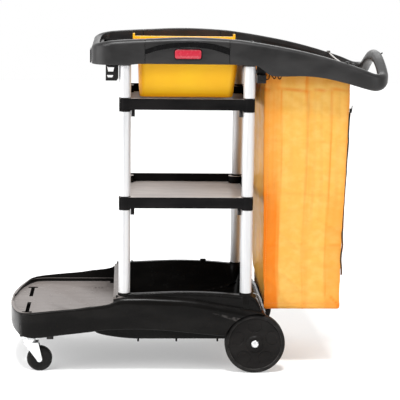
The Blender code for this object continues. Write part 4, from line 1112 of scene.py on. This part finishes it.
# ---- the waste bag ------------------------------------------------------------------------
FRONT_X, REAR_X = (0.2315, 0.2255), (0.4960, 0.5050)      # at the bottom and at the mouth
BAG_HALF = (0.2035, 0.2095)
HEM_Z = 0.955
SAG = 0.026
SEAM_DROP = 0.0055
BAG_ROWS = 90
BAG_COLUMNS = [(face, k / count) for face, count in
               (("near", 56), ("rear", 47), ("far", 56), ("front", 47)) for k in range(count)]
BOTTOM_RINGS = 8
BAG_LIMITS = ((0.2015, 0.5135), (-0.2225, 0.2225), (0.2035, 9.0))
SHIFT_LIMIT = 0.011
SETTLE_FRAMES = 26


def rail_z(x):
    return 1.034 - (x - 0.2225) * 0.115


def mouth_z(x, y):
    """Height of the mouth's edge: level with the rails at the sides, sagging between them."""
    across = 1 - min(1.0, abs(y) / BAG_HALF[1]) ** 2
    return rail_z(x) - 0.004 - SAG * across


def front_x(v):
    """The front corners lean towards the posts above the base, and back in at the mouth."""
    return FRONT_X[0] - 0.0090 * step(0.04, 0.20, v) + 0.0030 * step(0.92, 1.0, v)


def bag_point(face, u, v):
    """A place on the cut pattern: u round a face and v up it."""
    front = front_x(v)
    rear = REAR_X[0] + v * (REAR_X[1] - REAR_X[0])
    half = BAG_HALF[0] + v * (BAG_HALF[1] - BAG_HALF[0])
    x, y = {"near": (front + u * (rear - front), -half), "rear": (rear, -half + u * 2 * half),
            "far": (rear - u * (rear - front), half), "front": (front, half - u * 2 * half)}[face]
    top = mouth_z(x, y)
    z = BAG_LOW_Z - SEAM_DROP + v * (top - BAG_LOW_Z + SEAM_DROP)
    if face == "front":
        x -= 0.019 * (math.sin(math.pi * u) ** 0.6 * step(0.0, 0.14, v))
    if face == "rear":
        x += 0.006 * math.sin(math.pi * u) * step(0.0, 0.2, v) * (1 - step(0.8, 1.0, v))
    tuck = 0.004 * (1 - step(0.0, 0.012, v))
    x += tuck if x < 0.37 else -tuck
    return x, y - math.copysign(tuck, y), z


def bag_grid():
    """Columns round the bag and rows up it, with a bottom, as a cut pattern sewn into a sack."""
    count = len(BAG_COLUMNS)
    tags = [(face, u, r / BAG_ROWS) for r in range(BAG_ROWS + 1) for face, u in BAG_COLUMNS]
    verts = [bag_point(*tag) for tag in tags]
    faces = quads(BAG_ROWS + 1, count)
    centre = Vector((0.367, 0.0, BAG_LOW_Z - SEAM_DROP))
    previous = list(range(count))
    for ring in range(1, BOTTOM_RINGS):
        shrink = 1 - ring / BOTTOM_RINGS
        current = list(range(len(verts), len(verts) + count))
        verts += [(centre.x + (x - centre.x) * shrink, y * shrink, centre.z)
                  for x, y, _ in verts[:count]]
        for k in range(count):
            j = (k + 1) % count
            faces.append((previous[j], previous[k], current[k], current[j]))
        previous = current
    faces += [(previous[(k + 1) % count], previous[k], len(verts)) for k in range(count)]
    verts.append(tuple(centre))
    tags += [("bottom", 0.0, 0.0)] * (len(verts) - len(tags))
    return verts, faces, tags


def ridge(distance, width):
    return math.exp(-(distance / width) ** 2)


def to_line(a, z, start, end):
    """Distance from a point to a segment."""
    p = Vector((a, z))
    s = Vector(start)
    d = Vector(end) - s
    t = min(1.0, max(0.0, (p - s).dot(d) / d.length_squared))
    return (p - s - d * t).length


def crease(face, u, x, y, z):
    """Outward push and painted shade, a deeper orange, of the sewn lines, packing creases and
    wrinkles at a point; painted shade also falls on the edges, the bottom and the faces turned from
    the light, with a painted shadow of the arms along the top.
    """
    # Painted shade: the bottom, facing down, is deeper orange.
    if face == "bottom":
        return 0.0, 0.3
    width = 0.2700 if face in ("near", "far") else 0.4130
    a = u * width
    if face in ("far", "front"):
        a = width - a
    if face in ("rear", "far"):
        drift = 0.004 * math.sin(z * 9.0 + 1.3)
    else:
        drift = 0.003 * math.sin(z * 11.0)
    push = 0.0
    # Painted shade: faces turned from the light are deeper orange, the ends most.
    shade_tint = {"near": 0.04, "far": 0.08, "rear": 0.22, "front": 0.20}[face]
    below_hem = 1 - step(HEM_Z - 0.003, HEM_Z + 0.003, z)
    middle = a - width / 2 - drift
    push += 0.0022 * ridge(middle, 0.0045) * below_hem
    # Painted shade in the middle fold, darkest near the top, and beside it.
    shade_tint += (0.20 + 0.50 * step(0.905, 0.935, z)) * ridge(middle, 0.0030)
    shade_tint += 0.16 * ridge(middle - 0.012, 0.010) * below_hem
    # Painted shade in the two creased panel lines.
    for line in (0.055, width - 0.055):
        reach = step(0.240, 0.256, z) * below_hem
        push -= 0.0011 * ridge(a - line - drift * 0.4, 0.0028) * reach
        shade_tint += 0.62 * ridge(a - line - drift * 0.4, 0.0026) * reach
    # Painted shade in the hem's groove and the packing creases.
    for height, size, colour in ((HEM_Z, -0.0014, 0.50), (0.603, 0.0012, 0.15),
                                 (0.262, -0.0004, 0.10), (0.430, 0.0010, 0.16),
                                 (0.782, 0.0010, 0.14)):
        wander = 0.0025 * math.sin(a * 31.0 + height * 40)
        push += size * ridge(z - height - wander, 0.0045)
        shade_tint += colour * ridge(z - height - wander, 0.0030)
    # Painted shade in the bottom corners' mitre folds and the diagonal creases.
    for start, end in (
            ((0.0, 0.215), (0.042, 0.250)), ((width, 0.215), (width - 0.035, 0.250)),
            ((width / 2, 0.262), (width / 2 - 0.060, 0.330)), ((0.018, 0.640), (0.075, 0.700)),
            ((width - 0.012, 0.470), (width - 0.085, 0.520)), ((0.060, 0.470), (0.118, 0.415)),
            ((width / 2 + 0.02, 0.86), (width - 0.05, 0.80))):
        away = to_line(a, z, start, end)
        push += 0.0016 * ridge(away, 0.0050)
        shade_tint += (0.48 if max(start[1], end[1]) < 0.26 else 0.10) * ridge(away, 0.0032)
    edge = min(a, width - a)
    # Painted shade towards each face's edges, where the bag rounds away.
    shade_tint += 0.22 * (1 - step(0.0, 0.020, edge))
    if face == "near":
        # Painted shade on the near face: a deeper strip along its left edge, a crease, and a strip
        # along its right edge.
        shade_tint += (0.86 - 0.56 * step(0.52, 0.72, z)) * (1 - step(0.044, 0.056, a))
        shade_tint += 0.28 * ridge(a - 0.027, 0.0022) * step(0.60, 0.66, z) * below_hem
        shade_tint += (0.26 - 0.20 * step(0.50, 0.66, z)) * step(width - 0.058, width - 0.047, a)
        for height in (0.862, 0.884):
            push += 0.0015 * ridge(z - height - 0.003 * math.sin(a * 44.0), 0.0040)
    # Deeper orange towards the bottom, and a painted shadow of the arms and rails along the top.
    shade_tint += 0.22 * (1 - step(0.212, 0.262, z)) + 0.28 * step(0.962, 0.985, z)
    spot = Vector((x * 0.8, y * 0.8, z * 1.1))
    wrinkle = 1 - abs(noise.noise(spot * 15.0)) * 2.4
    fine = 1 - abs(noise.noise(spot * 55.0 + Vector((7, 3, 1)))) * 2.4
    push += 0.0020 * max(0.0, wrinkle) ** 2 + 0.0007 * max(0.0, fine) ** 2
    # Painted shade along the wrinkles.
    shade_tint += 0.07 * max(0.0, wrinkle) ** 4 + 0.06 * max(0.0, fine) ** 4
    return push, min(1.0, shade_tint)


def simulate(made, pinned):
    """Let the sack hang: cut a little full, pinned at its mouth, with a breath of air in it."""
    group = made.vertex_groups.new(name="mouth")
    group.add(pinned, 1.0, "REPLACE")
    cloth = made.modifiers.new("Cloth", "CLOTH")
    for setting, value in (
            ("quality", 5), ("mass", 0.12), ("tension_stiffness", 18.0),
            ("compression_stiffness", 12.0), ("shear_stiffness", 6.0),
            ("bending_stiffness", 0.35), ("air_damping", 2.0), ("shrink_min", -0.012),
            ("use_pressure", True), ("uniform_pressure_force", 0.35),
            ("vertex_group_mass", "mouth")):
        setattr(cloth.settings, setting, value)
    cloth.collision_settings.use_self_collision = False
    cloth.point_cache.frame_start = 1
    cloth.point_cache.frame_end = SETTLE_FRAMES
    scene = bpy.context.scene
    for number in range(1, SETTLE_FRAMES + 1):
        scene.frame_set(number)
    baked(made)
    scene.frame_set(1)


def make_bag():
    verts, faces, tags = bag_grid()
    mesh = bpy.data.meshes.new("waste_bag_cloth")
    mesh.from_pydata(verts, [], faces)
    made = placed("waste_bag_cloth", mesh)
    mouth = len(BAG_COLUMNS) * BAG_ROWS
    simulate(made, list(range(mouth, mouth + len(BAG_COLUMNS))))
    mesh = made.data
    middle = Vector((0.367, 0.0, 0.6))
    for vertex, start in zip(mesh.vertices, verts):
        shift = vertex.co - Vector(start)
        if shift.length > SHIFT_LIMIT:
            vertex.co = Vector(start) + shift * (SHIFT_LIMIT / shift.length)
    mesh.update()
    normals = [v.normal.copy() for v in mesh.vertices]
    shade_tints = []
    for vertex, out, (face, u, v) in zip(mesh.vertices, normals, tags):
        if out.dot(vertex.co - middle) < 0:
            out = -out
        push, shade_tint = crease(face, u, *vertex.co)
        push *= 1 - step(0.985, 1.0, v)
        vertex.co += out * push
        vertex.co = [max(low, min(high, value))
                     for value, (low, high) in zip(vertex.co, BAG_LIMITS)]
        shade_tints.append(shade_tint)
    # The painted shade of folds, creases and shaded faces, for the cloth's material.
    mesh.attributes.new("fold_shade", "FLOAT", "POINT").data.foreach_set("value", shade_tints)
    mesh.shade_smooth()
    finer = made.modifiers.new("Finer", "SUBSURF")
    finer.levels = 1
    finer.render_levels = 1
    baked(made)
    made.data.shade_smooth()
    return show(made, VINYL, "waste_bag")


def bag_surface(made):
    mesh = made.data
    mesh.calc_loop_triangles()
    return BVHTree.FromPolygons([v.co for v in mesh.vertices],
                                [tuple(t.vertices) for t in mesh.loop_triangles])


def on_bag(tree, point, inward, proud=0.0005):
    """The nearest place on the cloth, looking in from outside."""
    inward = Vector(inward)
    hit = tree.ray_cast(Vector(point) - inward * 0.05, inward, 0.2)[0]
    return Vector(point) if hit is None else hit - inward * proud


def stitch_runs():
    """Where thread runs on the hem, the panel lines and the bottom seam."""
    y, low = 0.21, 0.2265
    runs = []
    for sign in (-1, 1):
        ends = [((x0, z), (x1, z)) for z in (HEM_Z - 0.0030, HEM_Z + 0.0030)
                for x0, x1 in ((0.2900, 0.3560), (0.3860, 0.4520))]
        ends += [((x, 0.225), (x + 0.003, 0.975)) for x in (0.2370, 0.4960)]
        ends.append(((0.2390, low), (0.4900, low)))
        runs += [((x0, sign * y, z0), (x1, sign * y, z1), (0, -sign, 0))
                 for (x0, z0), (x1, z1) in ends]
    for x, inward in ((0.50, (-1, 0, 0)), (0.22, (1, 0, 0))):
        for reach, z in ((0.190, low), (0.180, HEM_Z)):
            runs.append(((x, -reach, z), (x, reach, z), inward))
    return runs


def make_stitches(tree):
    """Rows of thread, each stitch a spindle with pointed ends."""
    pitch, stitch, thickness, sides = 0.0062, 0.0042, 0.00055, 6
    spindle = ((0.0, 0.25), (0.25, 1.0), (0.75, 1.0), (1.0, 0.25))
    dashes = []
    for start, end, inward in stitch_runs():
        start = Vector(start)
        run = Vector(end) - start
        for k in range(int(run.length / pitch)):
            a = start + run * (k * pitch / run.length)
            b = start + run * ((k * pitch + stitch) / run.length)
            dashes.append((on_bag(tree, a, inward), on_bag(tree, b, inward), Vector(inward)))
    verts, faces = [], []
    for a, b, inward in dashes:
        side = (b - a).normalized().cross(inward).normalized()
        base = len(verts)
        for share, size in spindle:
            centre = a + (b - a) * share
            verts += [centre + (side * c - inward * s) * thickness * size
                      for c, s in circle(sides)]
        faces += [tuple(base + n for n in face) for face in quads(len(spindle), sides)]
    show(build("bag_stitching", verts, faces, 80.0), THREAD)


def make_zip(tree):
    """A zip down the rear face: woven tape, a coil and a loop pull."""
    inward = Vector((-1, 0, 0))
    line = []
    for z in spread(0.322, 0.885, 260):
        loose = 1 - step(0.42, 0.70, z)
        x = max(0.488, on_bag(tree, (0.50, -0.1900, z), inward, 0.0030).x)
        line.append(Vector((x + 0.0014 * (1 + math.sin(z * 62.0)) * loose,
                            -0.1960 + 0.0015 * math.sin(z * 38.0) * loose, z)))
    line = [sum(near, Vector()) / len(near)
            for near in (line[max(0, i - 4):i + 5] for i in range(len(line)))]
    section = ((0.0002, -0.0050), (0.0002, 0.0050), (-0.0004, 0.0050), (-0.0004, -0.0050))
    tape = [[p + Vector((dx, dy, 0)) for dx, dy in section] for p in line[::3]]
    made = loft("zip_tape_strip", tape)
    rings = []
    for i, p in enumerate(line):
        swell = 0.0028 + 0.0005 * (i % 2)
        rings.append([p + Vector((0.0012 + swell * c, swell * s, 0)) for c, s in circle(10)])
    coil = loft("zip_coil", rings, sharp=80.0)
    head = line[-1]
    slider = softened(cuboid("slider", (head.x, head.y - 0.0055, head.z - 0.002),
                             (head.x + 0.0058, head.y + 0.0055, head.z + 0.012)), 0.0016)
    loop = [(head.x + 0.0070 + 0.0012 * c, head.y + 0.0045 * s, head.z + 0.010 + 0.0115 * c)
            for c, s in circle(20)]
    pull = tube("pull", loop, 0.0011, 8, 2, True)
    whole = shade(join("bag_zip_fine", [made, coil, slider, pull]), 50.0)
    show(whole, TAPE, "bag_zip")


def make_sleeve(side):
    """A black sleeve, slightly puckered, round a rail."""
    rings = []
    for i, x in enumerate(spread(0.2262, RAIL_X[1], 60)):
        pucker = 0.0056 + 0.0005 * math.sin(i * 1.9) + 0.0003 * math.sin(i * 4.1)
        rings.append([(x, SIDES[side] * RAIL_Y + pucker * c,
                       rail_z(x) + pucker * s - 0.0045 * max(0.0, -s) ** 3)
                      for c, s in circle(18)])
    sleeve = loft("rail_sleeve_" + side, rings, caps=False, sharp=60.0)
    show(sleeve, TAPE)


def make_binding(tree, end, look, mouth_x, outside_x, inward):
    """A band folded over the mouth's edge at one end."""
    rings = []
    inward = Vector(inward)
    for y in spread(-0.205, 0.205, 70):
        top = mouth_z(mouth_x, y) - 0.0002
        here = on_bag(tree, (outside_x, y, top - 0.003), inward, 0.0008)
        low = on_bag(tree, (outside_x, y, top - 0.012), inward, 0.0008)
        push = inward * 0.0030
        rings.append([here + Vector((0, 0, 0.0042)), here, low, low - Vector((0, 0, 0.0008)),
                      here + push + Vector((0, 0, -0.006)), here + push
                      + Vector((0, 0, 0.0036))])
    show(loft("mouth_binding_" + end, rings, sharp=50.0), look)


# ---- small fittings -----------------------------------------------------------------------
def make_fittings():
    peg = [(0, 1.0345), (0.0045, 1.0345), (0.0045, 1.0462), (0.0060, 1.0474), (0.0070, 1.0482),
           (0.0072, 1.0492), (0.0064, 1.0504), (0.0040, 1.0512), (0, 1.0514)]
    wire = [(0.2215, 0.9930), (0.2270, 0.9895), (0.2330, 0.9930), (0.2345, 1.0030),
            (0.2390, 1.0075), (0.2440, 1.0010), (0.2480, 0.9945), (0.2530, 0.9930),
            (0.2555, 0.9990), (0.2590, 1.0040), (0.2630, 0.9990), (0.2665, 0.9925),
            (0.2710, 0.9925), (0.2740, 0.9985), (0.2785, 1.0060)]
    for side, sign in SIDES.items():
        for node in ("tool_hook_", "rail_bracket_", "rail_clip_"):
            from_node(node + side, FITTING_BLACK, width=0.0009)
        rail = bar("rail_rod_" + side, *((x, sign * RAIL_Y, rail_z(x)) for x in RAIL_X), 0.004,
                   32)
        show(softened(rail, 0.0006), ZINC, "bag_rail_" + side)
        made = moved(lathe("peg_" + side, peg, 40), PEG_X, sign * PEG_Y, 0)
        show(made, FITTING_BLACK, "bag_peg_" + side)
        path = [(x, sign * 0.2235, z) for x, z in wire]
        show(tube("hook_wire_" + side, path, 0.0018, 8, 5), BLACK_AND_ARCH_SHADE)
    from_node("front_clip", FITTING_BLACK, width=0.0010)
    from_node("bin_handle", BAR_YELLOW, "bin_handle", 0.0022, 4)


def make_strap():
    """The light elastic strap that holds the bag's rear edge to both pegs."""
    rings = []
    for i, y in enumerate(spread(-0.2225, 0.2225, 60)):
        t = i / 59
        x = 0.4935 + 0.004 * math.sin(math.pi * t)
        z = 1.0425 - 0.010 * 4 * t * (1 - t)
        rings.append([(x - 0.0032, y, z - 0.0006), (x + 0.0032, y, z - 0.0010),
                      (x + 0.0034, y, z + 0.0004), (x - 0.0030, y, z + 0.0008)])
    parts = [loft("strap", rings, sharp=60.0)]
    for sign in SIDES.values():
        loop = [(PEG_X + 0.0062 * c, sign * (0.2300 - 0.0025) + 0.0078 * s, 1.0462 - 0.0012 * c)
                for c, s in circle(24)]
        parts.append(tube("loop", loop, 0.0010, 8, 2, True))
    show(shade(join("bag_strap", parts), 50.0), GREY_WEB)


# ---- stage, light and camera --------------------------------------------------------------
def pale_floor():
    made = Look("pale_floor", 0.75, Specular_IOR_Level=0.2, Emission_Strength=0.36,
                Emission_Color=(1.0, 1.0, 1.0))
    made.feed(made.shader, Base_Color=made.mix(made.noise(3.0, 3.0), (0.62, 0.62, 0.62),
                                               (0.64, 0.64, 0.64)))
    return made.material


def lamp(name, kind, aim, energy, place=(0.0, 0.0, 0.0), **settings):
    light = bpy.data.lights.new(name, kind)
    light.energy = energy
    for key, value in settings.items():
        setattr(light, key, value)
    made = placed(name, light)
    made.location = place
    made.rotation_euler = Vector(aim).to_track_quat("-Z", "Y").to_euler()
    return made


def make_stage():
    cells = 24
    verts = [(-6.0 + 12.0 * i / cells, -6.5 + 16.0 * k / cells, 0.0)
             for i in range(cells + 1) for k in range(cells + 1)]
    floor = build("studio_floor", verts, quads(cells + 1, cells + 1, around=False, flip=True))
    floor.data.materials.append(pale_floor())
    for name, place, target, size, power in (
            ("key", (-1.9, -2.3, 2.9), (0.0, 0.0, 0.6), 1.6, 70.0),
            ("fill", (2.3, -2.6, 1.6), (0.2, 0.0, 0.6), 1.8, 30.0),
            ("left", (-2.6, -0.9, 0.9), (0.2, 0.0, 0.6), 2.0, 34.0),
            ("back", (0.6, 2.6, 2.6), (0.0, 0.0, 0.7), 2.0, 20.0)):
        lamp(name, "AREA", Vector(target) - Vector(place), power, place, size=size)
    lamp("overhead", "SUN", (0.02, 0.42, -1.0), 2.7, angle=math.radians(9.0))


def make_world():
    """A white studio that is dimmer on the camera's side, where the room is."""
    world = bpy.data.worlds.new("studio")
    bpy.context.scene.world = world
    world.use_nodes = True
    tree = world.node_tree
    back = tree.nodes["Background"]
    back.inputs["Color"].default_value = (1.0, 1.0, 1.0, 1.0)
    spot = tree.nodes.new("ShaderNodeTexCoord").outputs["Generated"]
    parts = tree.nodes.new("ShaderNodeSeparateXYZ")
    ramp = tree.nodes.new("ShaderNodeMapRange")
    ramp.interpolation_type = "SMOOTHSTEP"
    for index, value in ((1, -0.50), (2, 0.20), (3, 0.07), (4, 1.0)):
        ramp.inputs[index].default_value = value
    for output, socket in ((spot, parts.inputs[0]), (parts.outputs[1], ramp.inputs[0]),
                           (ramp.outputs[0], back.inputs["Strength"])):
        tree.links.new(output, socket)


def make_camera():
    yaw, pitch, roll = (math.radians(a) for a in (2.941, 10.285, 0.788))
    forward = Vector((math.sin(yaw) * math.cos(pitch), math.cos(yaw) * math.cos(pitch),
                      -math.sin(pitch)))
    right = Vector((math.cos(yaw), -math.sin(yaw), 0.0))
    up = right.cross(forward)
    across = math.cos(roll) * right + math.sin(roll) * up
    above = -math.sin(roll) * right + math.cos(roll) * up
    place = Matrix((across, above, -forward)).transposed().to_4x4()
    place.translation = Vector((-0.2341, -5.0209, 1.4582))
    lens = bpy.data.cameras.new("camera")
    lens.sensor_width = 36.0
    lens.lens = 132.18
    lens.clip_end = 60.0
    camera = bpy.data.objects.new("camera", lens)
    bpy.context.scene.collection.objects.link(camera)
    camera.matrix_world = place
    bpy.context.scene.camera = camera


# ---- the whole cart -----------------------------------------------------------------------
make_base()
make_loops()
make_posts()
for shelf_level in SHELF_Z:
    make_shelf(shelf_level)
make_front_cap()
make_handle()
make_seams()
make_tray()
make_bin()
make_axle()
for side_name in SIDES:
    make_side_panel(side_name)
    make_badge(side_name)
    make_wheel(side_name)
    make_caster(side_name)
make_fittings()
waste_bag = make_bag()
surface = bag_surface(waste_bag)
make_stitches(surface)
make_zip(surface)
for side_name in SIDES:
    make_sleeve(side_name)
make_binding(surface, "front", TAPE, FRONT_X[1], 0.22, (1, 0, 0))
make_binding(surface, "rear", GREY_WEB, REAR_X[1], 0.51, (-1, 0, 0))
make_strap()
make_stage()
make_world()
make_camera()
bpy.context.scene.view_settings.view_transform = "Standard"
